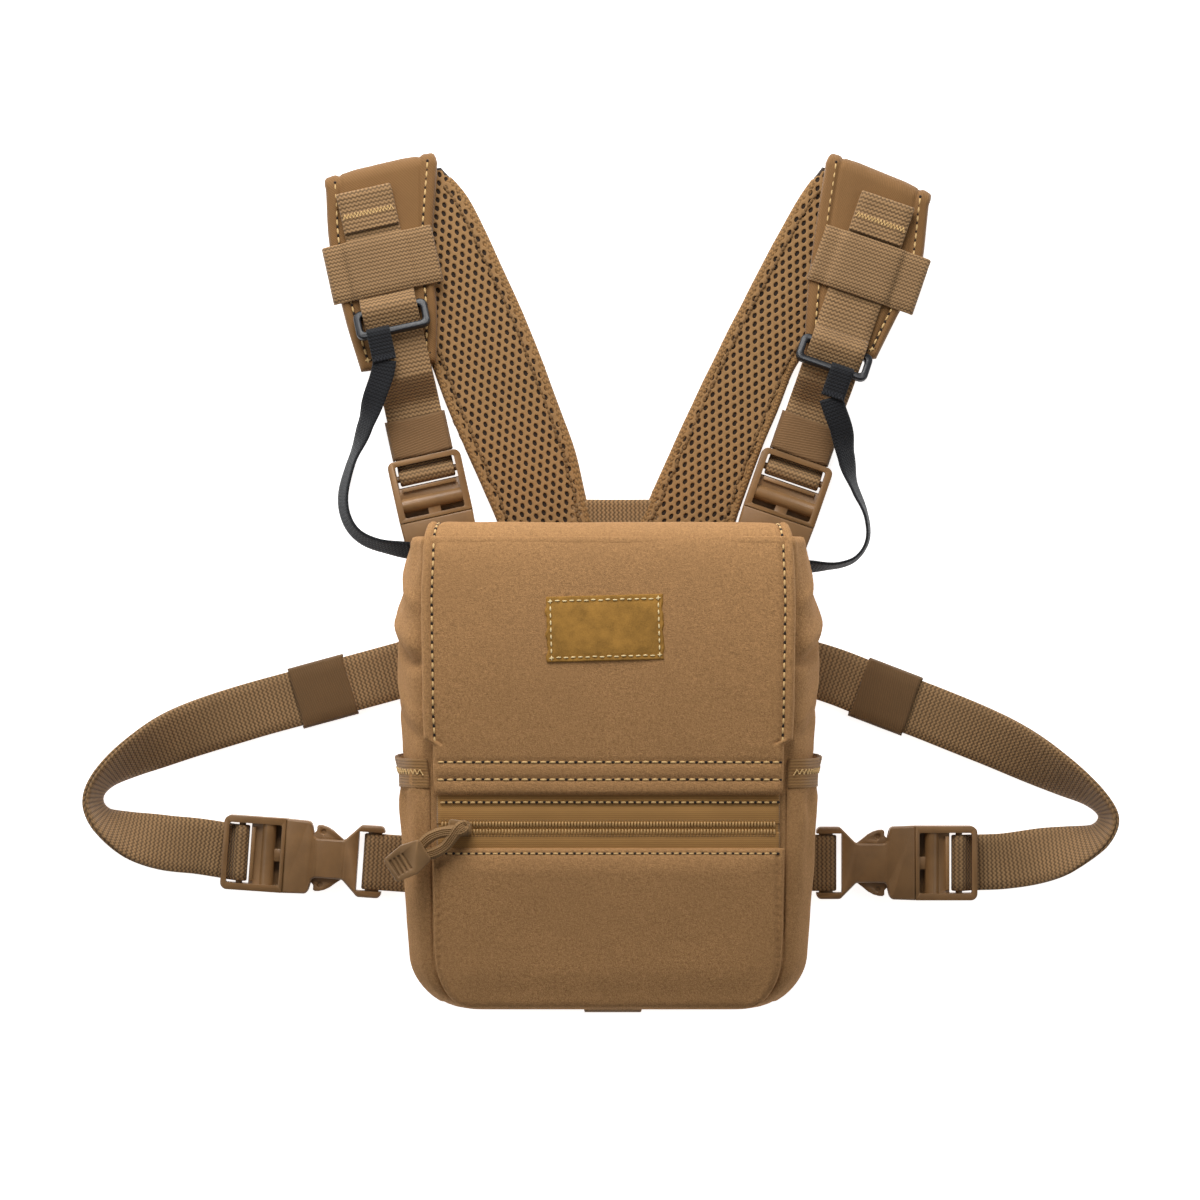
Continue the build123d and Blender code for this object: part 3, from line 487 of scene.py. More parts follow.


# %% [markdown]
# ## Stitches and coils
# Thread comes up out of the cloth and goes down again: what shows is a row of short fat beads. A
# Geometry Nodes tree walks along a curve, drops a bead at every pitch and turns it along the curve. Where
# the cloth is thick it also drops a dark bead between two stitches, painted shade for the hole the needle
# left. The same tree, with a bead that is broad and short, makes the coils of the zipper.

# %% The bead tree


def bead_tree():
    tree = bpy.data.node_groups.new("beads_on_a_line", "GeometryNodeTree")
    face = tree.interface
    face.new_socket("Geometry", in_out="INPUT", socket_type="NodeSocketGeometry")
    sockets = {}
    for label, kind in (("Pitch", "NodeSocketFloat"), ("Bead Size", "NodeSocketVector"),
                        ("Up", "NodeSocketVector"), ("Thread", "NodeSocketMaterial"),
                        ("Holes", "NodeSocketBool"), ("Hole", "NodeSocketMaterial"),
                        ("Wander", "NodeSocketFloat"), ("Seed", "NodeSocketInt")):
        sockets[label] = face.new_socket(label, in_out="INPUT", socket_type=kind).identifier
    face.new_socket("Geometry", in_out="OUTPUT", socket_type="NodeSocketGeometry")
    add, link = tree.nodes.new, tree.links.new
    given = add("NodeGroupInput")
    walk = add("GeometryNodeResampleCurve")
    walk.mode = "LENGTH"
    link(given.outputs["Geometry"], walk.inputs["Curve"])
    link(given.outputs["Pitch"], walk.inputs["Length"])
    along = add("GeometryNodeInputTangent")
    turn = add("FunctionNodeAlignRotationToVector")
    turn.axis = "X"
    link(along.outputs[0], turn.inputs["Vector"])
    stand = add("FunctionNodeAlignRotationToVector")
    stand.axis = "Z"
    stand.pivot_axis = "X"
    link(turn.outputs[0], stand.inputs["Rotation"])
    link(given.outputs["Up"], stand.inputs["Vector"])
    bead = add("GeometryNodeMeshUVSphere")
    bead.inputs["Segments"].default_value = 8
    bead.inputs["Rings"].default_value = 6
    bead.inputs["Radius"].default_value = 0.5
    sized = add("GeometryNodeTransform")
    link(bead.outputs["Mesh"], sized.inputs["Geometry"])
    link(given.outputs["Bead Size"], sized.inputs["Scale"])
    # The needle's hole is a small dark bead of painted shade, half a pitch further on and mostly sunk in the
    # cloth.
    pin = add("GeometryNodeTransform")
    link(bead.outputs["Mesh"], pin.inputs["Geometry"])
    pin.inputs["Scale"].default_value = (1.5 * MM, 1.25 * MM, 0.6 * MM)
    half = add("ShaderNodeMath")
    half.operation = "MULTIPLY"
    link(given.outputs["Pitch"], half.inputs[0])
    half.inputs[1].default_value = 0.5
    on = add("ShaderNodeCombineXYZ")
    link(half.outputs[0], on.inputs[0])
    on.inputs[2].default_value = -0.1 * MM
    link(on.outputs[0], pin.inputs["Translation"])
    dark = add("GeometryNodeSetMaterial")
    link(pin.outputs[0], dark.inputs["Geometry"])
    link(given.outputs["Hole"], dark.inputs["Material"])
    either = add("GeometryNodeSwitch")
    either.input_type = "GEOMETRY"
    link(given.outputs["Holes"], either.inputs["Switch"])
    link(dark.outputs[0], either.inputs["True"])
    both = add("GeometryNodeJoinGeometry")
    link(sized.outputs[0], both.inputs[0])
    link(either.outputs[0], both.inputs[0])
    smooth = add("GeometryNodeSetShadeSmooth")
    link(both.outputs[0], smooth.inputs["Geometry"])
    chance = add("FunctionNodeRandomValue")
    chance.data_type = "FLOAT_VECTOR"
    chance.inputs[0].default_value = (-1, -1, -1)
    chance.inputs[1].default_value = (1, 1, 1)
    link(given.outputs["Seed"], chance.inputs["Seed"])
    shift = add("ShaderNodeVectorMath")
    shift.operation = "SCALE"
    link(chance.outputs[0], shift.inputs[0])
    link(given.outputs["Wander"], shift.inputs["Scale"])
    place = add("GeometryNodeSetPosition")
    link(walk.outputs[0], place.inputs["Geometry"])
    link(shift.outputs[0], place.inputs["Offset"])
    drop = add("GeometryNodeInstanceOnPoints")
    link(place.outputs[0], drop.inputs["Points"])
    link(smooth.outputs[0], drop.inputs["Instance"])
    link(stand.outputs[0], drop.inputs["Rotation"])
    real = add("GeometryNodeRealizeInstances")
    link(drop.outputs[0], real.inputs[0])
    is_hole = add("GeometryNodeMaterialSelection")
    link(given.outputs["Hole"], is_hole.inputs["Material"])
    thread_only = add("FunctionNodeBooleanMath")
    thread_only.operation = "NOT"
    link(is_hole.outputs[0], thread_only.inputs[0])
    paint = add("GeometryNodeSetMaterial")
    link(real.outputs[0], paint.inputs["Geometry"])
    link(thread_only.outputs[0], paint.inputs["Selection"])
    link(given.outputs["Thread"], paint.inputs["Material"])
    done = add("NodeGroupOutput")
    link(paint.outputs[0], done.inputs[0])
    return tree, sockets


BEADS, BEAD_SOCKETS = bead_tree()
thread_stuff = woven("sewing_thread", tone(224, 186, 126), 0.3 * MM, 0.5 * MM, 1.1, 0.7, 0.00005)
dark_thread = woven("matching_thread", tone(150, 114, 70), 0.3 * MM, 0.5 * MM, 1.1, 0.7, 0.00005)


# Painted shade: the dark colour of the needle-hole beads stands in for the shade inside the holes.
hole_shade_stuff = woven("needle_hole_shade", tone(40, 26, 14), 0.3 * MM, 0.5 * MM, 1.1, 0.7, 0.00002)


def bead_rows(name, lines, pitch, size, material, up=(0, 0, 1), wander=0.0, seed=1, holes=False):
    """Beads along several lines of points, as one plain mesh."""
    curve = bpy.data.curves.new(name + "_lines", "CURVE")
    curve.dimensions = "3D"
    for line in lines:
        spline = curve.splines.new("POLY")
        spline.points.add(len(line) - 1)
        for spot, p in zip(spline.points, line):
            spot.co = (*p, 1.0)
    source = bpy.data.objects.new(name + "_lines", curve)
    bpy.context.scene.collection.objects.link(source)
    modifier = source.modifiers.new("beads", "NODES")
    modifier.node_group = BEADS
    for label, value in (("Pitch", pitch), ("Bead Size", size), ("Up", up), ("Thread", material),
                         ("Holes", holes), ("Hole", hole_shade_stuff), ("Wander", wander), ("Seed", seed)):
        modifier[BEAD_SOCKETS[label]] = value
    bpy.context.view_layer.update()
    seen = source.evaluated_get(bpy.context.evaluated_depsgraph_get())
    mesh = bpy.data.meshes.new_from_object(seen)
    bpy.data.objects.remove(source)
    bpy.data.curves.remove(curve)
    mesh.name = name
    obj = bpy.data.objects.new(name, mesh)
    bpy.context.scene.collection.objects.link(obj)
    print(name, len(mesh.polygons), "faces")
    return obj


# %% [markdown]
# ## The body of the pack
# The pack is a soft box: flat behind, flat in front, with side panels that swell a little between their
# seams. One sheet of points makes it, wrapped round from the bottom to the mouth, over the rim and down
# again inside, so the walls have their true thickness and the mouth is really open under the lid.

# %% Sections of the body

PACK_BOTTOM, PACK_TOP = -101.2, 103.4
BACK_Z, FRONT_Z = 10.6, 89.9
SEAM_X = 76.5
CORNER_X, CORNER_Z = 24.0, 14.0


def half_width_at(y):
    """Half width of the pack at its widest, along its height."""
    return line_through([(-103, 83.0), (-60, 86.2), (-5, 87.2), (12, 90.0), (30, 91.0), (62, 92.0),
                         (80, 89.5), (103, 86.0)], y)


def front_fall(y):
    """Share of the pack's depth that is left: the filled pocket leans back towards the bottom."""
    return 1 - 0.055 * ease((-22 - y) / 80)


def sunk(x, y, z):
    """A section's point moved towards the middle where the pack rounds off at its bottom."""
    level = max(y - PACK_BOTTOM, 0.0)
    into = [deep - math.sqrt(deep ** 2 - max(0.0, deep - level) ** 2) for deep in (CORNER_X, CORNER_Z)]
    wide, middle = half_width_at(y), (BACK_Z + FRONT_Z) / 2
    z = middle + (z - middle) * (1 - into[1] / (middle - BACK_Z))
    return x * (wide - into[0]) / wide, BACK_Z + (z - BACK_Z) * front_fall(y)


def body_section(y, wall, rounded=True):
    """Closed (x, z) section of the pack's body at one height, moved in by a wall."""
    wide = half_width_at(y)
    seam = line_through([(-103, 74.5), (0, SEAM_X), (103, 78.0)], y)
    shoulder = line_through([(-103, 82.0), (0, 85.0), (70, 87.0), (103, 83.5)], y)
    corner = [(0, BACK_Z), (50, BACK_Z), (wide - 9, BACK_Z + 0.3), (wide - 2.5, BACK_Z + 5.5),
              (wide - 0.3, 28), (wide, 46), (wide - 0.6, 62), (shoulder + 1.4, 76),
              (shoulder - 2.2, 84.2), (seam + 2.6, 88.0), (seam, 89.3), (seam - 3.5, FRONT_Z),
              (40, FRONT_Z + 0.2), (0, FRONT_Z + 0.2)]
    right = spread_evenly(smooth_line(corner, 1.0), 120)
    loop = right + [(-x, z) for x, z in reversed(right[1:-1])]
    if not wall:
        return [sunk(x, y, z) for x, z in loop] if rounded else loop
    moved = []
    for x, z in loop:
        shrink_x = (wide - wall) / wide
        middle = (BACK_Z + FRONT_Z) / 2
        shrink_z = (FRONT_Z - BACK_Z - 2 * wall) / (FRONT_Z - BACK_Z)
        moved.append(sunk(x * shrink_x, y, middle + (z - middle) * shrink_z))
    return moved


def body_lift(x, y, z):
    """How far a point of the body stands out or in: folds of the side panels and soft waves."""
    side = 1 if x > 0 else -1
    out = 0.5 * ripple(y, z, 26, 3.1 + side) + 0.22 * ripple(y, z, 9, 7.7 + side)
    if abs(x) > 70:
        fold = groove((y - 58) + 0.35 * (z - 60) + 1.5 * math.sin(z / 9), 2.6)
        out -= 3.4 * fold * ease((abs(x) - 74) / 10) * ease((z - 30) / 30)
        out += 1.9 * groove((y - 66) + 0.35 * (z - 60), 5.5) * ease((abs(x) - 76) / 8)
        out += 1.1 * groove((y - 88) + 0.5 * (z - 60), 3.0) * ease((abs(x) - 76) / 8)
        out += 0.9 * groove((y - 40) + 0.6 * (z - 60), 4.0) * ease((abs(x) - 76) / 8)
        out -= 0.9 * groove((y - 27) + 0.4 * (z - 60), 2.6) * ease((abs(x) - 76) / 8)
        out -= 2.0 * groove(abs(x) - SEAM_X - 0.6, 1.0) * ease((z - 80) / 5)
    return out


def body_rows():
    """Rows of section points from the bottom's middle, up outside, over the rim, down inside."""
    rows = []
    base = body_section(PACK_BOTTOM, 0)
    centre_z = (BACK_Z + FRONT_Z) / 2
    for share in (0.02, 0.3, 0.6, 0.9):
        rows.append([(x * share, PACK_BOTTOM - 0.25 * (1 - share), centre_z + (z - centre_z) * share)
                     for x, z in base])
    for level in (0.0, 0.3, 1.0, 2.3, 4.3, 6.8, 9.8, 13.0):
        rows.append([(x, PACK_BOTTOM + level, z) for x, z in body_section(PACK_BOTTOM + level, 0)])
    y = PACK_BOTTOM + 16
    while y < PACK_TOP - 1.5:
        rows.append([(x, y, z) for x, z in body_section(y, 0)])
        y += 2.0
    for wall, y in ((0.6, PACK_TOP - 0.4), (2.0, PACK_TOP), (3.4, PACK_TOP - 0.4), (4.0, PACK_TOP - 1.6)):
        rows.append([(x, y, z) for x, z in body_section(PACK_TOP, wall)])
    for y in (90, 70, 45, 20, -10, -40, -70, -88, -95):
        rows.append([(x, y, z) for x, z in body_section(y, 4.0)])
    inner = body_section(-95, 4.0)
    for share in (0.8, 0.4, 0.02):
        rows.append([(x * share, -98.5, centre_z + (z - centre_z) * share) for x, z in inner])
    return rows


rows = body_rows()
around = len(rows[0])
centre = Vector((0, 0, (BACK_Z + FRONT_Z) / 2))
outer_rows = len(rows) - 16


def body_point(i, j):
    x, y, z = rows[j][i]
    spot = Vector((x, y, z))
    if j > 3 and j < outer_rows:
        away = Vector((x, 0, z)) - Vector((0, 0, centre.z))
        away = Vector((away.x / 90, 0, away.z / 40))
        flat_front = ease((86 - abs(x)) / 12) * ease((z - 86) / 3)
        spot += away.normalized() * body_lift(x, y, z) * (1 - 0.6 * flat_front)
        spot.z = max(spot.z, BACK_Z - 0.1)
    return spot * MM


body = grid_object("pack_body", around, len(rows), body_point,
                   lambda i, j: (i * 2.6 * MM, rows[j][0][1] * MM), around=True, cap=True)
dress(body, "root", shell_cloth, "shell_fabric", "back_panel", "left_side_panel", "right_side_panel",
      "bottom_panel", "front_panel")
# The inner wall, from the rim down, gets the darker copy of the shell cloth: painted shade inside the pack.
body.data.materials.append(inner_shade_cloth)
first_inner = 4 + 8 + (outer_rows - 12) + 3
for polygon in body.data.polygons:
    if polygon.index // around >= first_inner:
        polygon.material_index = 1
print("pack_body", len(body.data.polygons), "faces")

# %% [markdown]
# ## The lid
# One padded flap covers the mouth, turns over the top edge and lies on the front. Its two sides are
# rolled and stitched, its lower hem is stitched in two rows, and the rolls stop in a small notch where
# the hem begins. It all turns with the lid's hinge, so it is one piece on one body.

# %% Lid

LID_Z, LID_TOP_Y, LID_LOW_Z = 92.7, 106.6, 15.0
LID_LOWER = -7.6
lid_profile = [(LID_LOWER, LID_Z - 0.4), (5, LID_Z + 0.2), (20, LID_Z + 1.2), (42, LID_Z + 2.0),
               (62, LID_Z + 1.4), (80, LID_Z - 0.2), (92, LID_Z - 2.2),
               (100, LID_Z - 5.0), (104.4, LID_Z - 8.8),
               (LID_TOP_Y + 0.3, LID_Z - 15),
               (LID_TOP_Y + 0.8, 60), (LID_TOP_Y + 0.3, 30), (LID_TOP_Y, LID_LOW_Z)]
lid_line = smooth_line(lid_profile, 0.5)
lid_total = sum(math.dist(a, b) for a, b in zip(lid_line, lid_line[1:]))
lid_levels = even_ends(lid_total, 2.4, 1.15)


def lid_at(distance):
    """(y, z) of the lid's middle layer at a distance from its lower edge."""
    gone = 0.0
    for a, b in zip(lid_line, lid_line[1:]):
        step = math.dist(a, b)
        if gone + step >= distance:
            t = (distance - gone) / step
            return a[0] + (b[0] - a[0]) * t, a[1] + (b[1] - a[1]) * t
        gone += step
    return lid_line[-1]


def lid_half(distance):
    """Half width of the lid: narrow at the hem, full above the notch, less over the top edge."""
    hem = 74.8 + 0.4 * ease(distance / 20)
    full = line_through([(23, 79.0), (40, 79.6), (85, 80.2), (106, 79.6), (125, 78.0), (200, 77.0)], distance)
    return hem + (full - hem) * ease((distance - 22.3) / 1.6)


lid_rows = []
for distance in lid_levels:
    y, z = lid_at(distance)
    half = lid_half(distance) * MM
    corner = 2.2 * (1 - rim(distance, 4.0)) * MM
    lid_rows.append((Vector((-half + corner, y * MM, z * MM)), Vector((half - corner, y * MM, z * MM))))

HEM_ROWS = (6.9, 14.4)
SIDE_STITCH = 4.6


def lid_lift(x, along):
    """Rolled sides, pulled-in stitch lines, the two hem rows and slow waves, in metres."""
    x, along = x / MM, along / MM
    half = lid_half(along)
    inside = half - abs(x)
    full = ease((along - 21.5) / 2.5)
    up = -1.15 * full * groove(inside - SIDE_STITCH, 1.0)
    up += 0.35 * full * groove(inside - 2.0, 1.6)
    beat = 0.8 + 0.2 * math.sin(along / 3.7 * 2 * math.pi)
    up -= 0.35 * full * groove(inside - SIDE_STITCH - 1.4, 1.4) * beat
    for row in HEM_ROWS:
        up -= 0.75 * groove(along - row, 0.8) * (1 if abs(x) < half - 2 else 0.3)
    up += 0.25 * groove(along - 10.6, 2.6) + 0.2 * groove(along - 3.0, 2.0)
    up += 0.55 * ripple(x, along, 46, 1.3) + 0.16 * ripple(x, along, 15, 4.1)
    up += 0.18 * ripple(x * 0.5, along, 6, 9.2) * groove(inside - 9, 6)
    return up * MM


lid = quilt("lid_cloth", lid_rows, 4.6 * MM, 2.4 * MM, 130, lid_lift, lower=0.7)
dress(lid, "lid", shell_cloth, "shell_fabric", "lid_shell")


def lid_skin(x, distance, above=0.0):
    """A point on the lid's outer skin, in metres."""
    y, z = lid_at(distance)
    y2, z2 = lid_at(distance + 0.5)
    y1, z1 = lid_at(max(distance - 0.5, 0))
    length = math.hypot(y2 - y1, z2 - z1) or 1.0
    up_y, up_z = -(z2 - z1) / length, (y2 - y1) / length
    height = 2.3 + lid_lift(x * MM, distance * MM) / MM + above
    return Vector((x, y + up_y * height, z + up_z * height)) * MM


seam_lines = []
for side in (-1, 1):
    seam_lines.append([lid_skin(side * (lid_half(d) - SIDE_STITCH), d, 0.5)
                       for d in [24 + k for k in range(0, int(lid_total - 34))]])
for row in HEM_ROWS:
    width = 71.6
    seam_lines.append([lid_skin(-width + 2 * width * k / 140, row, 0.4) for k in range(141)])
lid_thread = bead_rows("lid_stitches", seam_lines, 3.9 * MM, (2.9 * MM, 1.0 * MM, 0.85 * MM), thread_stuff,
                       wander=0.08 * MM, holes=True)
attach(lid_thread, "lid")

# %% Label on the lid

PATCH_X, PATCH_Y = -1.5, 64.0
patch_turn = math.radians(1.5)


def patch_place(x, y, z):
    """A point of the label's own frame, in metres."""
    turned = Matrix.Rotation(patch_turn, 3, "Z") @ Vector((x, y, 0))
    return Vector((turned.x + PATCH_X, turned.y + PATCH_Y, z)) * MM


def lid_height_near(x, y):
    """Height of the lid's skin over a point of its flat part, in mm."""
    return lid_skin(x, y - LID_LOWER).z / MM


patch_rows = []
for level in even_ends(28.0, 0.7, 0.7):
    y = level - 14.0
    wave = 0.35 * math.sin(y * 0.62) + 0.2 * math.sin(y * 1.3 + 1)
    z = lid_height_near(PATCH_X, PATCH_Y + y) + 0.45
    patch_rows.append((patch_place(-25.0 + wave, y, z), patch_place(25.0 + wave * 0.7, y, z)))


def patch_lift(x, along):
    x, along = x / MM, along / MM
    edge = min(25 - abs(x), along, 28 - along)
    up = -0.3 * groove(edge - 1.9, 0.5) + 0.12 * ripple(x, along, 7, 2.2) + 0.06 * ripple(x, along, 2.6, 5.1)
    return (up + 0.25 * ease((edge - 2.2) / 4)) * MM


def suede(name, colour):
    """Brushed microsuede: darker and lighter strokes of a very short pile."""
    t = Tree(name)
    where = t.place()
    pile = t.noise(where, 2400.0, 3.0, 0.7)
    stroke = t.noise(where, 160.0, 3.0, 0.6)
    shade = t.math("ADD", t.math("MULTIPLY", pile, 0.5), t.math("MULTIPLY", stroke, 0.5))
    base = t.mix(t.remap(shade, 0.38, 0.62, 0.0, 1.0), deeper(colour, 0.72), deeper(colour, 1.22))
    return t.finish(base, t.bump(shade, 0.00012), Roughness=0.85, Sheen_Weight=0.4, Sheen_Roughness=0.5,
                    Sheen_Tint=deeper(colour, 1.6), Specular_IOR_Level=0.2)


label_suede = suede("label_suede", tone(149, 109, 49))
label = quilt("lid_label", patch_rows, 1.2 * MM, 0.5 * MM, 60, patch_lift)
dress(label, "lid", label_suede, "label_leather", "lid_patch")

inset_x, inset_y = 23.1, 12.1
corners = [(-inset_x, -inset_y), (inset_x, -inset_y), (inset_x, inset_y), (-inset_x, inset_y)]
label_lines = []
for (xa, ya), (xb, yb) in zip(corners, corners[1:] + corners[:1]):
    line = []
    for k in range(41):
        x, y = xa + (xb - xa) * k / 40, ya + (yb - ya) * k / 40
        y += 0.18 * math.sin(x * 0.9)
        line.append(patch_place(x, y, lid_height_near(PATCH_X, PATCH_Y + y) + 1.12))
    label_lines.append(line)
label_seam = bead_rows("label_stitches", label_lines, 3.0 * MM, (2.2 * MM, 0.72 * MM, 0.6 * MM),
                       woven("label_thread", tone(236, 212, 160), 0.3 * MM, 0.5 * MM, 1.1, 0.8, 0.00004))
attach(label_seam, "lid")

# %% [markdown]
# ## Front pocket
# Below the lid the front carries a long zipper between two tapes, and a padded panel that is sewn to the
# lower tape and runs out into the seams at the sides and the bottom.

# %% Pocket panel and tapes

POCKET_TOP, POCKET_LOW = -30.2, -99.0
pocket_rows = []
for level in even_ends(POCKET_TOP - POCKET_LOW, 2.0, 1.2):
    y = POCKET_LOW + level
    left = max(0.0, 1 - level / 21.0)
    inset = 14.0 * (1 - math.sqrt(1 - left ** 2))
    half = line_through([(-99, 73.4), (-60, 75.0), (-30, 75.4)], y) - inset
    z = BACK_Z + (91.6 - BACK_Z) * front_fall(y) + 0.4 * ease(level / 20)
    pocket_rows.append((Vector((-half, y, z)) * MM, Vector((half, y, z)) * MM))


def pocket_lift(x, along):
    x, along = x / MM, along / MM
    down = (POCKET_TOP - POCKET_LOW) - along
    inside = 75.0 - abs(x)
    up = 1.5 * ease(inside / 20) * ease(along / 18) * ease(down / 10)
    up -= 0.7 * groove(down - 2.2, 0.8)
    round_in = 14.0 * (1 - math.sqrt(1 - max(0.0, 1 - along / 21.0) ** 2))
    scallop = 0.65 + 0.35 * math.sin((along + abs(x)) / 3.6 * 2 * math.pi)
    up -= 1.3 * groove(inside - round_in - 2.4, 1.1) * scallop
    up += 0.5 * ripple(x, along, 40, 6.6) * ease(inside / 12) + 0.14 * ripple(x, along, 13, 8.3)
    up += 0.22 * ripple(x * 1.6, along * 0.7, 7, 2.9) * groove(min(inside, along), 6)
    return up * MM


pocket = quilt("front_pocket", pocket_rows, 4.0 * MM, 3.2 * MM, 120, pocket_lift, ends=(True, True))
dress(pocket, "root", shell_cloth, "shell_fabric", "front_pocket_panel")


def pocket_skin(x, y, above=0.0):
    along = y - POCKET_LOW
    flat = BACK_Z + (91.6 - BACK_Z) * front_fall(y)
    return Vector((x, y, flat + 2.2 + pocket_lift(x * MM, along * MM) / MM + above)) * MM


def strip(name, y_low, y_high, z_low, z_high, half, thick, lift=None, columns=90):
    """A flat strip across the front, between two heights of y."""
    found = []
    length = y_high - y_low
    for level in even_ends(length, min(0.8, length / 4), 0.9):
        y = y_low + level
        z = z_low + (z_high - z_low) * level / length
        found.append((Vector((-half, y, z)) * MM, Vector((half, y, z)) * MM))
    return quilt(name, found, thick * MM, 0.5 * MM, columns, lift)


def tape_lift(x, along):
    x, along = x / MM, along / MM
    return (0.14 * ripple(x, along, 12, 3.3) - 0.25 * groove(along - 7.4, 0.6)) * MM


upper_tape = strip("upper_tape", -19.9, -7.0, 91.5, 91.1, 73.5, 1.0,
                   lambda x, y: tape_lift(x, y) + 0.5 * MM * groove(y / MM - 5.0, 3.4))
lower_tape = strip("lower_tape", -31.5, -23.5, 91.3, 91.5, 73.5, 1.0,
                   lambda x, y: tape_lift(x, -1) + 0.25 * MM * groove(y / MM - 4.0, 2.0))
middle_tape = strip("middle_tape", -25.5, -18.0, 91.2, 91.2, 73.2, 0.7)
dress(upper_tape, "root", tape_cloth, "zipper_tape", "zipper_tape")
for piece in (lower_tape, middle_tape):
    dress(piece, "root", tape_cloth, "zipper_tape")

fine_lines = [[Vector((x, -10.6, 92.6)) * MM for x in range(-71, 72, 2)],
              [pocket_skin(x, -32.5, 0.4) for x in range(-71, 72, 2)]]
fine_seam = bead_rows("front_stitches", fine_lines, 3.2 * MM, (2.4 * MM, 0.8 * MM, 0.7 * MM), thread_stuff,
                      wander=0.06 * MM, seed=3, holes=True)
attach(fine_seam, "root")

# %% Zipper coils

CHAIN_Y = -21.7
coil_lines = []
for side in (-1, 1):
    coil_lines.append([Vector((x, CHAIN_Y + side * 1.6, 92.0)) * MM for x in range(-71, 72)])
coils = bead_rows("coil_turns", coil_lines, 1.35 * MM, (1.1 * MM, 2.8 * MM, 1.8 * MM), coil_stuff)
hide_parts("zipper_coils")
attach(coils, "root")
chain_lines = []
for side in (-1, 1):
    chain_lines.append([Vector((x, CHAIN_Y + side * 3.4, 92.0)) * MM for x in range(-71, 72)])
chain_thread = bead_rows("coil_stitches", chain_lines, 1.35 * MM, (1.1 * MM, 0.7 * MM, 0.6 * MM), dark_thread)
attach(chain_thread, "root")

# %% [markdown]
# ## Side pockets
# A stretch pocket lies on each side panel. Its mouth is bound with a ribbed elastic that pulls the cloth
# into gathers just below it. The cloth follows the body's own section, set off by a few millimetres, and
# the gathers are a wave that dies away towards the bottom.

# %% Pouches and bindings


def side_path(y, out, side, low_z, count):
    """Points (x, z) on the body's side from the front seam round towards the back, moved outwards."""
    half = body_section(y, 0, rounded=False)[:120]
    kept = [p for p in half if p[0] > 74.5 and low_z <= p[1] <= 89.6][::-1]
    kept = spread_evenly(kept, count)
    moved = []
    for k, (x, z) in enumerate(kept):
        before, after = kept[max(k - 1, 0)], kept[min(k + 1, count - 1)]
        dx, dz = after[0] - before[0], after[1] - before[1]
        size = math.hypot(dx, dz) or 1.0
        share = out(k / (count - 1))
        x, z = sunk(x - dz / size * share, y, z + dx / size * share)
        moved.append((side * x, z))
    return moved


def wrapped_panel(name, side, levels, stand, thick, low_z, count=64):
    """A cloth panel that wraps the body's side; stand(share, y) is its distance from the body."""
    outer = [side_path(y, lambda s, y=y: stand(s, y) + thick * min(1.0, 0.15 + s * 14), side, low_z,
                       count) for y in levels]
    inner = [side_path(y, lambda s, y=y: stand(s, y), side, low_z, count) for y in levels]

    def point(i, j):
        x, z = outer[j][i] if i < count else inner[j][2 * count - 1 - i]
        return Vector((x, levels[j], z)) * MM

    def flat(i, j):
        turn = i if i < count else 2 * count - 1 - i
        return turn * 1.45 * MM, levels[j] * MM

    return grid_object(name, 2 * count, len(levels), point, flat, around=True, cap=True)


pouch_levels = [-97.5 + 2.0 * k for k in range(37)] + [-24.0 + 1.0 * k for k in range(32)]
band_levels = [-4.6, -4.2] + [-3.4 + 1.0 * k for k in range(11)] + [7.4, 7.8]
elastic_rib = woven("ribbed_elastic", tone(140, 104, 62), 0.9 * MM, 1.3 * MM, 1.25, 0.55, 0.0002)
for side, word in ((-1, "left"), (1, "right")):

    def pouch_stand(share, y, side=side):
        full = line_through([(-96, 0.0), (-80, 0.8), (-30, 1.8), (7, 1.6)], y)
        gather = line_through([(-60, 0.0), (-32, 0.7), (-10, 1.8), (-4, 0.9), (8, 0.3)], y)
        wave = math.sin(share * 31 + 1.3 * ripple(share * 60, y, 18, side + 4.0)) * 0.5
        wave += 0.8 * ripple(share * 70, y * 0.35, 6, 2.0 + side)
        return full * ease(share * 9) + gather * wave * ease(share * 12)

    def band_stand(share, y, side=side):
        wave = 0.35 * math.sin(share * 31) + 0.3 * ripple(share * 70, 0, 6, 2.0 + side)
        return 1.9 * ease(share * 6) + 0.6 + wave * ease(share * 12) - 0.3 * groove(y - 2.2, 0.8)

    pouch = wrapped_panel(word + "_pouch", side, pouch_levels, pouch_stand, 1.2, 17.0)
    dress(pouch, "root", shell_cloth, "shell_fabric", word + "_side_pocket")
    band = wrapped_panel(word + "_pouch_band", side, band_levels, band_stand, 1.1, 17.0, 90)
    dress(band, "root", elastic_rib, "elastic_band", "pocket_bindings")
    zigzag = []
    for k in range(70):
        share = 0.03 + 0.94 * k / 69
        y = 2.2 + (1.1 if k % 2 else -1.1)
        path = side_path(y, lambda s: band_stand(s, y) + 1.25, side, 17.0, 200)
        x, z = path[int(share * 199)]
        zigzag.append(Vector((x, y, z)) * MM)
    up = (side * 0.8, 0, 0.6)
    tack = bead_rows(word + "_band_zigzag", [zigzag], 0.8 * MM, (1.0 * MM, 0.65 * MM, 0.6 * MM),
                     thread_stuff, up)
    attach(tack, "root")

# %% [markdown]
# ## Slider, pull and toggle
# The slider is moulded metal, and CAD already has its shape, so a merged copy with soft edges is
# enough. The pull is a flat cord with four ribs that goes through the bail twice and ends in a moulded
# toggle. It lies across the side of the pack as it does on the real one.

# %% Soft-edged copies of CAD parts


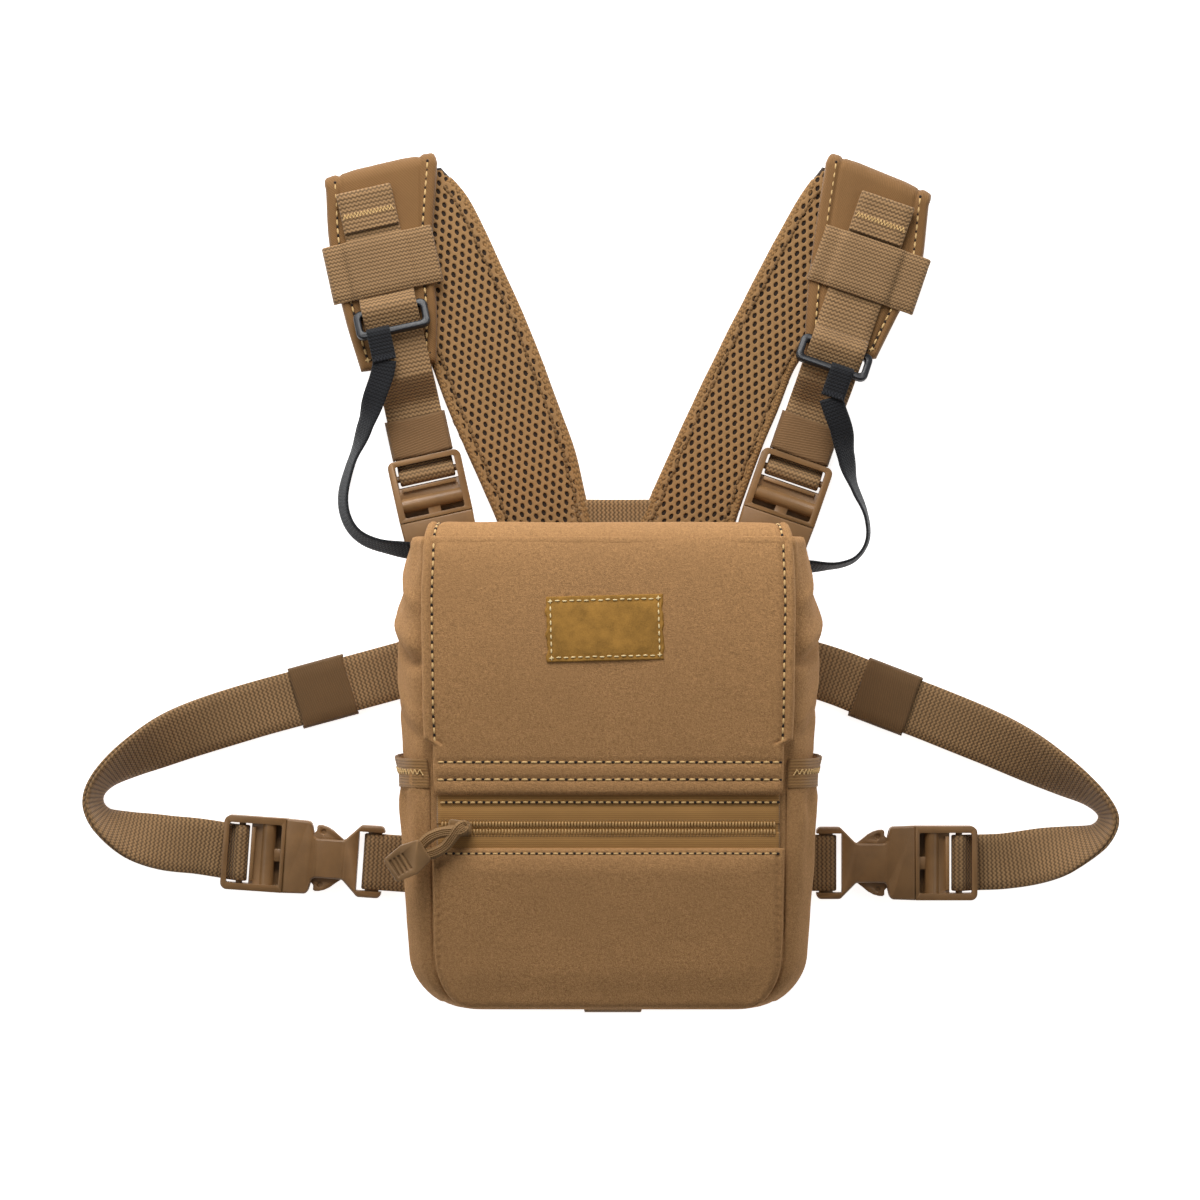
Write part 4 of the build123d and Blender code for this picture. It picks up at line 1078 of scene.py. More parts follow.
def softened(node, body, material, slot, width=0.35, segments=2, name=None):
    """A copy of a CAD node with its loose triangles merged, flat faces joined and edges rounded."""
    source = nodes[node]
    mesh = source.data.copy()
    bm = bmesh.new()
    bm.from_mesh(mesh)
    bmesh.ops.remove_doubles(bm, verts=bm.verts, dist=0.00001)
    bmesh.ops.dissolve_limit(bm, angle_limit=math.radians(1.0), verts=bm.verts, edges=bm.edges)
    bm.to_mesh(mesh)
    bm.free()
    obj = bpy.data.objects.new(name or node + "_soft", mesh)
    bpy.context.scene.collection.objects.link(obj)
    bevel = obj.modifiers.new("edges", "BEVEL")
    bevel.width = width * MM
    bevel.segments = segments
    bevel.limit_method = "ANGLE"
    bevel.angle_limit = math.radians(32)
    bevel.harden_normals = True
    bpy.context.view_layer.update()
    final = bpy.data.meshes.new_from_object(obj.evaluated_get(bpy.context.evaluated_depsgraph_get()))
    obj.modifiers.clear()
    obj.data = final
    for polygon in final.polygons:
        polygon.use_smooth = True
    final.set_sharp_from_angle(angle=math.radians(38))
    return dress(obj, body, material, slot, node)


softened("zipper_slider", "zipper_slider_body", slider_stuff, "slider_metal", 0.4, 3)
softened("pull_toggle", "zipper_pull", toggle_stuff, "toggle_plastic", 0.5, 3)

# %% The ribbed pull cord


def place_at(x, y, turn):
    """A frame on the table: gives a point of that frame, in metres, from millimetres in it."""
    spin = math.radians(turn)

    def at(px, py, pz):
        return Vector((x + px * math.cos(spin) - py * math.sin(spin),
                       y + px * math.sin(spin) + py * math.cos(spin), pz)) * MM
    return at


def lay_ribbon(name, at, points, width, thick, body, material, slot, stands=(), step=0.7, ribs=0, side=1):
    """A strap that follows smooth (y, z) points in a frame, with its width across the frame."""
    path = smooth_line(points, step)
    across = (at(1, 0, 0) - at(0, 0, 0)).normalized() * side
    line = [(at(0, y, z), across) for y, z in path]
    piece = ribbon(name, line, width * MM, thick * MM, ribs=ribs)
    return dress(piece, body, material, slot, *stands)


def loose_ribbon(name, points, width, thick, body, material, slot, stands=(), step=0.7, ribs=0):
    """A strap along smooth free points (x, y, z) in millimetres, lying level unless it is turned."""
    path = smooth_line(points, step)
    line = []
    for k, spot in enumerate(path):
        a, b = path[max(k - 1, 0)], path[min(k + 1, len(path) - 1)]
        level = Vector((b[1] - a[1], a[0] - b[0], 0.0)).normalized()
        if len(spot) > 3:
            bank = math.radians(spot[3])
            tangent = (Vector(b[:3]) - Vector(a[:3])).normalized()
            level = Matrix.Rotation(bank, 3, tangent) @ level
        line.append((Vector(spot[:3]) * MM, level))
    piece = ribbon(name, line, width * MM, thick * MM, ribs=ribs)
    return dress(piece, body, material, slot, *stands)


pull_at = place_at(-63.5, CHAIN_Y, 211.0 - 90.0)
for number, (lean, high) in enumerate(((-1, 0.0), (1, 1.3))):
    route = []
    for y, x, z in ((19.0, 2.3, 96.6), (13.0, 3.6, 97.2), (7.0, 2.6, 97.3), (2.6, 1.0, 96.9),
                    (0.2, -0.6, 96.5), (-1.9, -0.4, 97.4), (-2.4, 0.6, 99.3), (0.0, 0.6, 100.4),
                    (4.0, -1.2, 99.6), (9.0, -3.2, 98.4), (14.0, -3.2, 97.6), (19.0, -2.0, 96.9)):
        spot = pull_at(x * lean, y, z + high * ease((y + 1) / 6) * (1 if x * lean > 0 else 0.2))
        route.append(tuple(spot / MM))
    loose_ribbon("pull_cord_%d" % (number + 1), route, 4.5, 1.8, "zipper_pull", cord_cloth, "pull_cord",
                 ("pull_cord",), step=0.6, ribs=4)

# %% [markdown]
# ## Shoulder pads
# Each pad is one long foam strip that folds back on itself at the top. The layer in front shows woven
# nylon, and the layer behind shows its other face, a spacer net. The fold is a half turn of the same
# rows, so the nylon runs round it.

# %% Front layers with their folds

PAD_THICK, PAD_LOW_Z, PAD_FRONT_Z = 5.3, 3.3, 9.35
FOLD_RADIUS = (PAD_FRONT_Z - PAD_LOW_Z) / 2
front_edges = {
    "left": (((-110.5, 178.0), (-76.8, 182.5)), ((-118.0, 203.0), (-76.6, 206.0)),
             ((-124.6, 233.5), (-78.6, 233.5)), ((-126.4, 259.5), (-76.4, 271.5))),
    "right": (((87.8, 179.0), (120.0, 184.0)), ((88.4, 200.0), (130.0, 204.0)),
              ((90.8, 228.0), (139.6, 222.0)), ((97.4, 271.6), (143.6, 252.6)))}
rear_edges = {
    "left": (((-43.0, 92.0), (-3.2, 92.0)), ((-49.4, 112.0), (-8.4, 113.0)), ((-61.0, 138.0), (-15.5, 143.5)),
             ((-71.5, 162.0), (-25.0, 170.0)), ((-81.0, 186.0), (-36.5, 200.0)),
             ((-98.0, 216.0), (-50.0, 230.0)), ((-112.0, 238.0), (-62.0, 255.0)),
             ((-124.2, 256.0), (-75.0, 270.2))),
    "right": (((8.2, 92.0), (51.0, 92.0)), ((14.4, 110.0), (57.0, 112.0)), ((27.0, 138.5), (66.0, 138.0)),
              ((42.0, 171.0), (76.5, 164.0)), ((57.0, 201.0), (86.0, 185.0)),
              ((72.0, 231.0), (110.0, 212.0)), ((86.4, 257.0), (128.0, 236.0)),
              ((96.2, 270.4), (141.8, 250.4)))}
pad_front_rows = {}


def fold_turn(left, right, radius, start, end, steps, top):
    """Rows of a half turn about the line that a pad folds on, in millimetres."""
    along = (Vector((*right, 0)) - Vector((*left, 0))).normalized()
    away = Vector((-along.y, along.x, 0))
    made = []
    for k in range(steps + 1):
        angle = math.radians(start + (end - start) * k / steps)
        shift = away * radius * math.sin(angle)
        z = top - radius + radius * math.cos(angle)
        made.append((Vector((*left, z)) + shift, Vector((*right, z)) + shift))
    return made


for word, hand in (("left", -1), ("right", 1)):
    edges = [((*a, PAD_FRONT_Z), (*b, PAD_FRONT_Z)) for a, b in front_edges[word]]
    rows = rows_between(edges, 1.6)
    first, second = rows[0], rows[1]
    rows = [(first[0].lerp(second[0], t), first[1].lerp(second[1], t)) for t in (0, 0.1, 0.3, 0.6)] + rows[1:]
    rows += fold_turn(*front_edges[word][-1], FOLD_RADIUS, 8, 172, 16, PAD_FRONT_Z)
    rows = [(a * MM, b * MM) for a, b in rows]
    pad_front_rows[word] = rows

    def front_lift(x, along, hand=hand):
        x, along = x / MM, along / MM
        half = 23 if along > 40 else 17 + 6 * along / 40
        inside = min(half - abs(x), along)
        up = -0.7 * groove(inside - 4.6, 0.8) + 0.25 * groove(inside - 2.2, 1.2)
        up += 0.5 * ease((inside - 5) / 8) + 0.3 * ripple(x, along, 24, 5.0 + hand)
        return (up + 0.1 * ripple(x, along, 8, 1.0)) * MM

    pad = quilt(word + "_pad_cloth", rows, PAD_THICK * MM, 2.2 * MM, 70, front_lift, ends=(True, False))
    dress(pad, word + "_shoulder", pad_cloth, "pad_cordura", word + "_pad_front")

    # The seam keeps the same distance from the rim all the way round the pad.
    seam = []
    straight = [r for r in rows if r[0].z > (PAD_FRONT_Z - 0.2) * MM][:-2]
    for share in (0, 1):
        line = []
        for a, b in straight[6:]:
            side = (b - a).normalized()
            inset = 4.6 * MM
            spot = a + side * inset if share == 0 else b - side * inset
            line.append(spot + Vector((0, 0, PAD_THICK / 2 * MM)))
        seam.append(line)
    a, b = straight[6]
    low = [a.lerp(b, 0.13 + 0.74 * k / 20) + Vector((0, 0, PAD_THICK / 2 * MM)) for k in range(21)]
    seam.append(low)
    thread = bead_rows(word + "_pad_stitches", seam, 3.9 * MM, (2.9 * MM, 0.95 * MM, 0.8 * MM), thread_stuff,
                       holes=True)
    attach(thread, word + "_shoulder")

# %% [markdown]
# ## The spacer net
# The net's holes stand in rows, each row shifted by half a hole. A tile with six sides fits that
# pattern, so one small tile with an oval hole, repeated, is the whole net. The tree lays the tiles in
# a turned grid, drops each one on the foam below it, and keeps those that meet its flat face.

# %% The tile and its tree

HOLE_PITCH, ROW_PITCH = 3.7, 3.35


def net_tile():
    """One six-sided tile of net with an oval hole; its rings climb over the yarn and down the hole."""
    px, h = HOLE_PITCH / 2, ROW_PITCH
    low = (h * h - px * px) / (2 * h)
    high = (px * px + h * h) / (2 * h)
    corner = [(px, -low), (px, low), (0, high), (-px, low), (-px, -low), (0, -high)]
    outer = []
    for (xa, ya), (xb, yb) in zip(corner, corner[1:] + corner[:1]):
        outer += [(xa, ya), ((xa + xb) / 2, (ya + yb) / 2)]
    hole = []
    for x, y in outer:
        angle = math.atan2(y / 1.5, x)
        hole.append((0.86 * math.cos(angle), 1.36 * math.sin(angle)))
    rings = [[(x, y, 0.55) for x, y in outer]]
    rings.append([(x * 0.45 + u * 0.55, y * 0.45 + v * 0.55, 0.75) for (x, y), (u, v) in zip(outer, hole)])
    rings.append([(u, v, 0.42) for u, v in hole])
    rings.append([(u * 0.96, v * 0.96, -0.5) for u, v in hole])
    count = len(outer)
    verts = [(x * MM, y * MM, z * MM) for ring in rings for x, y, z in ring]
    faces = []
    for r in range(len(rings) - 1):
        for k in range(count):
            n = (k + 1) % count
            faces.append((r * count + k, r * count + n, (r + 1) * count + n, (r + 1) * count + k))
    mesh = bpy.data.meshes.new("net_tile")
    mesh.from_pydata(verts, [], faces)
    return new_object("net_tile", mesh)


def net_tree():
    tree = bpy.data.node_groups.new("net_over_foam", "GeometryNodeTree")
    face = tree.interface
    face.new_socket("Geometry", in_out="INPUT", socket_type="NodeSocketGeometry")
    sockets = {}
    for label, kind in (("Tile", "NodeSocketObject"), ("Middle", "NodeSocketVector"),
                        ("Turn", "NodeSocketFloat"), ("Size", "NodeSocketVector"),
                        ("Pitch Across", "NodeSocketFloat"), ("Pitch Along", "NodeSocketFloat"),
                        ("Wander", "NodeSocketFloat"), ("Seed", "NodeSocketInt"),
                        ("Yarn", "NodeSocketMaterial")):
        sockets[label] = face.new_socket(label, in_out="INPUT", socket_type=kind).identifier
    face.new_socket("Geometry", in_out="OUTPUT", socket_type="NodeSocketGeometry")
    add, link = tree.nodes.new, tree.links.new
    given = add("NodeGroupInput")

    def value(operation, a, b):
        node = add("ShaderNodeMath")
        node.operation = operation
        for socket, item in zip(node.inputs, (a, b)):
            if isinstance(item, (int, float)):
                socket.default_value = item
            else:
                link(item, socket)
        return node.outputs[0]

    size = add("ShaderNodeSeparateXYZ")
    link(given.outputs["Size"], size.inputs[0])
    both = add("GeometryNodeJoinGeometry")
    for row in (0, 1):
        grid = add("GeometryNodeMeshGrid")
        across = value("DIVIDE", size.outputs[0], given.outputs["Pitch Across"])
        along = value("DIVIDE", size.outputs[1], given.outputs["Pitch Along"])
        across = value("ROUND", across, 0.0)
        along = value("ROUND", value("DIVIDE", along, 2.0), 0.0)
        link(value("MULTIPLY", across, given.outputs["Pitch Across"]), grid.inputs["Size X"])
        two_rows = value("MULTIPLY", given.outputs["Pitch Along"], 2.0)
        link(value("MULTIPLY", along, two_rows), grid.inputs["Size Y"])
        link(value("ADD", across, 1.0), grid.inputs["Vertices X"])
        link(value("ADD", along, 1.0), grid.inputs["Vertices Y"])
        shift = add("ShaderNodeCombineXYZ")
        link(value("MULTIPLY", given.outputs["Pitch Across"], 0.5 * row), shift.inputs[0])
        link(value("MULTIPLY", given.outputs["Pitch Along"], 1.0 * row), shift.inputs[1])
        move = add("GeometryNodeTransform")
        link(grid.outputs["Mesh"], move.inputs["Geometry"])
        link(shift.outputs[0], move.inputs["Translation"])
        link(move.outputs[0], both.inputs[0])
    spin = add("ShaderNodeCombineXYZ")
    link(given.outputs["Turn"], spin.inputs[2])
    whole = add("GeometryNodeTransform")
    link(both.outputs[0], whole.inputs["Geometry"])
    link(given.outputs["Middle"], whole.inputs["Translation"])
    link(spin.outputs[0], whole.inputs["Rotation"])
    tile = add("GeometryNodeObjectInfo")
    link(given.outputs["Tile"], tile.inputs["Object"])

    def look_down():
        cast = add("GeometryNodeRaycast")
        link(given.outputs["Geometry"], cast.inputs["Target Geometry"])
        lifted = add("ShaderNodeVectorMath")
        link(add("GeometryNodeInputPosition").outputs[0], lifted.inputs[0])
        lifted.inputs[1].default_value = (0, 0, 0.05)
        link(lifted.outputs[0], cast.inputs["Source Position"])
        cast.inputs["Ray Direction"].default_value = (0, 0, -1)
        cast.inputs["Ray Length"].default_value = 0.2
        return cast

    seen = look_down()
    slope = add("ShaderNodeSeparateXYZ")
    link(seen.outputs["Hit Normal"], slope.inputs[0])
    flat = value("GREATER_THAN", slope.outputs[2], 0.8)
    keep = value("MULTIPLY", flat, seen.outputs["Is Hit"])
    drop = add("GeometryNodeInstanceOnPoints")
    link(whole.outputs[0], drop.inputs["Points"])
    link(tile.outputs["Geometry"], drop.inputs["Instance"])
    link(keep, drop.inputs["Selection"])
    link(spin.outputs[0], drop.inputs["Rotation"])
    real = add("GeometryNodeRealizeInstances")
    link(drop.outputs[0], real.inputs[0])
    below = look_down()
    hit = add("ShaderNodeSeparateXYZ")
    link(below.outputs["Hit Position"], hit.inputs[0])
    raise_by = add("ShaderNodeCombineXYZ")
    link(value("MULTIPLY", hit.outputs[2], below.outputs["Is Hit"]), raise_by.inputs[2])
    wobble = add("ShaderNodeTexNoise")
    wobble.inputs["Scale"].default_value = 450.0
    centred = add("ShaderNodeVectorMath")
    centred.operation = "SUBTRACT"
    link(wobble.outputs["Color"], centred.inputs[0])
    centred.inputs[1].default_value = (0.5, 0.5, 0.5)
    scaled = add("ShaderNodeVectorMath")
    scaled.operation = "SCALE"
    link(centred.outputs[0], scaled.inputs[0])
    link(given.outputs["Wander"], scaled.inputs["Scale"])
    total = add("ShaderNodeVectorMath")
    link(raise_by.outputs[0], total.inputs[0])
    link(scaled.outputs[0], total.inputs[1])
    place = add("GeometryNodeSetPosition")
    link(real.outputs[0], place.inputs["Geometry"])
    link(total.outputs[0], place.inputs["Offset"])
    weld = add("GeometryNodeMergeByDistance")
    weld.inputs["Distance"].default_value = 0.00002
    link(place.outputs[0], weld.inputs["Geometry"])
    smooth = add("GeometryNodeSetShadeSmooth")
    link(weld.outputs[0], smooth.inputs["Geometry"])
    paint = add("GeometryNodeSetMaterial")
    link(smooth.outputs[0], paint.inputs["Geometry"])
    link(given.outputs["Yarn"], paint.inputs["Material"])
    done = add("NodeGroupOutput")
    link(paint.outputs[0], done.inputs[0])
    return tree, sockets


NET, NET_SOCKETS = net_tree()
tile = net_tile()

# %% Rear layers


def cover_with_net(name, foam, middle, turn, size):
    """The net over one foam layer, as a plain mesh."""
    modifier = foam.modifiers.new("net", "NODES")
    modifier.node_group = NET
    for label, value in (("Tile", tile), ("Middle", middle), ("Turn", math.radians(turn)), ("Size", size),
                         ("Pitch Across", HOLE_PITCH * MM), ("Pitch Along", ROW_PITCH * MM),
                         ("Wander", 0.28 * MM), ("Seed", 4), ("Yarn", net_yarn)):
        modifier[NET_SOCKETS[label]] = value
    bpy.context.view_layer.update()
    mesh = bpy.data.meshes.new_from_object(foam.evaluated_get(bpy.context.evaluated_depsgraph_get()))
    foam.modifiers.remove(modifier)
    mesh.name = name
    net = bpy.data.objects.new(name, mesh)
    bpy.context.scene.collection.objects.link(net)
    print(name, len(mesh.polygons), "faces")
    return net


def bound_edge(name, line, wide, high, seed):
    """Folded binding round the edge of a pad: a flattened roll that follows the edge, a bit uneven."""
    count = 14
    frames = []
    for k, spot in enumerate(line):
        tangent = (line[min(k + 1, len(line) - 1)] - line[max(k - 1, 0)]).normalized()
        across = tangent.cross(Vector((0, 0, 1))).normalized()
        frames.append((spot, across, across.cross(tangent)))

    def point(i, j):
        spot, across, up = frames[j]
        angle = 2 * math.pi * i / count
        swell = 1 + 0.12 * noise.noise(Vector((j * 0.11, math.cos(angle), seed)))
        square = 1 + 0.1 * abs(math.sin(2 * angle))
        round_line = across * (math.cos(angle) * wide) + up * (math.sin(angle) * high)
        return spot + round_line * MM * swell * square

    return grid_object(name, count, len(frames), point, lambda i, j: (i * 0.9 * MM, j * 1.5 * MM),
                       around=True, cap=True)


def blend_rear(obj):
    """Bakes the placement of a piece of the rear layer into its mesh."""
    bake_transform(obj)


net_edge = woven("net_edge_yarn", tone(140, 104, 62), 1.4 * MM, 1.7 * MM, 1.2, 0.4, 0.0003)
net_turn = {"left": 24.5, "right": -28.0}
for word, hand in (("left", -1), ("right", 1)):
    rows = rows_between([((*a, PAD_LOW_Z), (*b, PAD_LOW_Z)) for a, b in rear_edges[word]], 2.0)
    rows = [(a * MM, b * MM) for a, b in rows]

    def rear_lift(x, along, hand=hand):
        x, along = x / MM, along / MM
        return (0.35 * ripple(x, along, 30, 8.0 + hand) + 0.12 * ripple(x, along, 9, 3.0)) * MM

    foam = quilt(word + "_foam", rows, 4.4 * MM, 2.6 * MM, 60, rear_lift, ends=(False, False))
    middle = (rows[0][0] + rows[0][1] + rows[-1][0] + rows[-1][1]) / 4
    net = cover_with_net(word + "_net", foam, (middle.x, middle.y, 0.0), net_turn[word], (0.075, 0.21, 0.0))
    # The foam's very dark finish is painted shade seen through the net's holes.
    dress(foam, None, net_hole_shade, "spacer_mesh", word + "_pad_rear")
    blend_rear(foam)
    blend_rear(net)
    for number, share in enumerate((0.035, 0.965)):
        line = [a.lerp(b, share) for a, b in rows[:-4]]
        edge = bound_edge(f"{word}_pad_binding_{number + 1}", line, 2.1, 2.7, number + hand * 3)
        edge.data.materials.append(net_edge)
        blend_rear(edge)
    # The two skins are caught together by a rough seam a little way inside each edge.
    rough = []
    for share in (0.11, 0.89):
        line = [a.lerp(b, share) for a, b in rows[2:-6]]
        rough.append([p + Vector((ripple(k, share, 4, 3.0) * 0.6, 0, 3.0)) * MM for k, p in enumerate(line)])
    seam = bead_rows(word + "_pad_edge_seam", rough, 2.3 * MM, (2.5 * MM, 1.5 * MM, 1.0 * MM), net_edge,
                     wander=0.3 * MM, seed=7)
    blend_rear(seam)
bpy.data.objects.remove(tile)

# %% [markdown]
# ## Webbing of the shoulders
# One length of webbing leaves the pad, goes round the bar of the buckle and comes back over itself. Its
# tail climbs through the ring, lies under the wide band on the pad and ends in a folded tab with a
# zigzag tack. It is drawn as one strap along a side view, so the loop at the buckle is really a loop.

# %% Shoulder webbing, bands and tabs

strap_at = {"left": place_at(-80.0, 127.0, 12.5), "right": place_at(81.0, 126.5, -19.0)}
RING_AT = {"left": 76.0, "right": 61.0}
KEEPER_AT = {"left": 101.0, "right": 103.5}
WEB_WIDTH, WEB_THICK = 25.0, 1.4
BAR_Y, BAR_Z, ROLL = 5.9, 5.0, 2.8
PAD_TOP = 12.0


def bar_turn(y, z, radius, start, end, steps):
    """(y, z) points round a bar."""
    turns = [math.radians(start + (end - start) * k / steps) for k in range(steps + 1)]
    return [(y + radius * math.cos(turn), z + radius * math.sin(turn)) for turn in turns]


def folded_sleeve(name, at, y0, y1, half, low, high, thick, body, material, slot, stands=()):
    """A flat elastic sleeve, open at both ends, about a strap that runs along the frame's y."""
    count = 44
    corner = (high - low) / 2 * 0.85

    def outline(grow):
        middle, tall = (low + high) / 2, (high - low) / 2
        made = []
        for k in range(count):
            angle = 2 * math.pi * (k + 0.5) / count
            cx, cz = math.cos(angle), math.sin(angle)
            x = math.copysign(half - corner, cx) if abs(cx) > 0.05 else 0.0
            made.append((x * min(1.0, abs(cx) * 3) + cx * (corner + grow), middle + cz * (tall + grow)))
        return made

    skin, inside = outline(thick), outline(0.0)
    steps = max(6, round((y1 - y0) / 1.3))
    rows = [(skin, y0 + (y1 - y0) * k / steps, k / steps) for k in range(steps + 1)]
    rows += [(inside, y1 - (y1 - y0) * k / steps, 1 - k / steps) for k in range(steps + 1)]

    def point(i, j):
        shape, y, share = rows[j]
        x, z = shape[i]
        wave = 0.35 * ripple(i * 1.7, y, 9, 2.0 + half) + 0.5 * groove(share - 0.5, 0.6) * 0.3
        bow = 0.5 * math.sin(i * 0.9 + y0) * groove(min(share, 1 - share), 0.2)
        return at(x * (1 + 0.01 * wave), y + bow * 0.6, z + (wave * 0.4 if z > (low + high) / 2 else 0.0))

    piece = grid_object(name, count, len(rows), point, lambda i, j: (i * 1.3 * MM, rows[j][1] * MM),
                        around=True, closed=True)
    return dress(piece, body, material, slot, *stands)


def zigzag_tack(name, at, y, half, z, body, thread, teeth=11, tall=1.5):
    """A bar of zigzag stitches across a strap."""
    line = [at(-half + 2 * half * k / (2 * teeth), y + (tall if k % 2 else -tall), z)
            for k in range(2 * teeth + 1)]
    tack = bead_rows(name, [line], 0.55 * MM, (0.75 * MM, 0.55 * MM, 0.5 * MM), thread)
    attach(tack, body)


for word, hand in (("left", -1), ("right", 1)):
    at, ring, keeper, shoulder = strap_at[word], RING_AT[word], KEEPER_AT[word], word + "_shoulder"
    free_end = 50.0 if hand < 0 else ring - 14.0
    points = [(free_end + 8, 5.6), (free_end, 5.0), (44, 2.6), (39.8, 1.8), (32, 1.65), (16, 1.6), (9, 1.75)]
    points += bar_turn(BAR_Y, BAR_Z, ROLL, -60, -300, 10)
    points += [(8.9, 5.9), (10.5, 4.2), (13, 3.5), (20, 3.35), (32, 3.35), (38.5, 3.6), (43, 7.0),
               (48.4, 12.0), (52, 13.1), (ring - 9, 13.5), (ring - 4.5, 14.3), (ring, 16.4),
               (ring + 4.5, 18.2), (ring + 7.4, 17.9), (ring + 10.5, 15.2), (ring + 14, 13.4),
               (keeper, PAD_TOP + 1.3), (120, PAD_TOP + 1.1), (134, PAD_TOP + 1.3)]
    lay_ribbon(word + "_webbing", at, points, WEB_WIDTH, WEB_THICK, shoulder, web_cloth, "webbing",
               (word + "_shoulder_webbing",), step=0.8)
    tab = [(134.6, PAD_TOP + 1.8), (135.2, PAD_TOP + 2.7), (133.6, PAD_TOP + 3.2), (128, PAD_TOP + 2.8),
           (122, PAD_TOP + 2.7), (117.6, PAD_TOP + 2.6)]
    lay_ribbon(word + "_tail_tab", at, tab, WEB_WIDTH - 0.2, WEB_THICK, shoulder, web_cloth, "webbing",
               step=0.6)
    zigzag_tack(word + "_tab_tack", at, 125.0, 11.3, PAD_TOP + 3.6, shoulder, thread_stuff,
                15, 1.0)

    lean = 1.0 if hand < 0 else 2.0
    reach = 24.5
    over = [(-reach + lean, PAD_TOP - 1.6), (-reach + lean + 1.0, PAD_TOP + 0.6), (-19.5, PAD_TOP + 1.0),
            (-15.2, PAD_TOP + 1.2), (-13.0, PAD_TOP + 2.6), (-9, PAD_TOP + 3.2), (0, PAD_TOP + 3.4),
            (9, PAD_TOP + 3.2), (13.0, PAD_TOP + 2.6), (15.2, PAD_TOP + 1.2), (19.5, PAD_TOP + 1.0),
            (reach + lean - 1.0, PAD_TOP + 0.6), (reach + lean, PAD_TOP - 1.6)]
    across = (at(0, 1, 0) - at(0, 0, 0)).normalized()
    band_line = [(at(x, keeper, z), -across) for x, z in smooth_line(over, 0.8)]
    band = ribbon(word + "_wide_band", band_line, 26.0 * MM, 1.3 * MM)
    dress(band, shoulder, band_cloth, "elastic_band", word + "_keeper_band")

    folded_sleeve(word + "_elastic_sleeve", at, 14.6, 32.0, 13.0, 0.75, 4.15, 0.8, word + "_sleeve_body",
                  elastic_cloth, "elastic_band", (word + "_sleeve",))
    softened(word + "_ring", word + "_ring_body", ring_stuff, "ring_plastic", 0.55, 3)

# %% [markdown]
# ## Tethers
# A narrow black webbing hangs from each ring and goes back into the seam at the side of the mouth. It
# is a free length with a known route, and it twists on its way, which shows its edge for a moment.

# %% Tethers

TETHER_WIDTH, TETHER_THICK = 10.5, 1.1
tether_routes = {
    "left": ((-99.6, 183.0, 18.0), (-99.9, 178.0, 17.8),
             (-104.5, 166.0, 16.6), (-109.5, 151.0, 10.6), (-116.0, 136.0, 6.4),
             (-120.0, 120.0, 5.4), (-115.0, 106.0, 5.8), (-102.0, 99.5, 8.3), (-87.9, 98.0, 12.7)),
    "right": ((99.3, 166.2, 18.0), (100.6, 161.5, 17.6),
              (104.6, 152.0, 14.6), (106.5, 140.0, 9.0), (110.0, 127.0, 6.0),
              (116.5, 114.0, 5.4), (117.0, 100.0, 5.6), (106.0, 90.0, 8.3), (87.9, 91.0, 12.7))}
tether_banks = {"left": (0, 10, 45, 68, 64, 64, 60, 45), "right": (0, -10, -40, -70, -80, -82, -78, -60)}
black_thread = woven("black_thread", tone(46, 48, 54), 0.3 * MM, 0.5 * MM, 1.2, 0.6, 0.00005)


def cord_route(points, count):
    """Points along a smooth NURBS line through the same runs as the CAD cord."""
    curve = bpy.data.curves.new("route", "CURVE")
    curve.dimensions = "3D"
    spline = curve.splines.new("NURBS")
    spline.points.add(len(points) - 1)
    for spot, p in zip(spline.points, points):
        spot.co = (p[0] * MM, p[1] * MM, p[2] * MM, 1.0)
    spline.order_u = 3
    spline.use_endpoint_u = True
    spline.resolution_u = 16
    obj = bpy.data.objects.new("route", curve)
    bpy.context.scene.collection.objects.link(obj)
    bpy.context.view_layer.update()
    mesh = bpy.data.meshes.new_from_object(obj.evaluated_get(bpy.context.evaluated_depsgraph_get()))
    found = [tuple(v.co) for v in mesh.vertices]
    bpy.data.objects.remove(obj)
    bpy.data.meshes.remove(mesh)
    return spread_evenly(found, count)


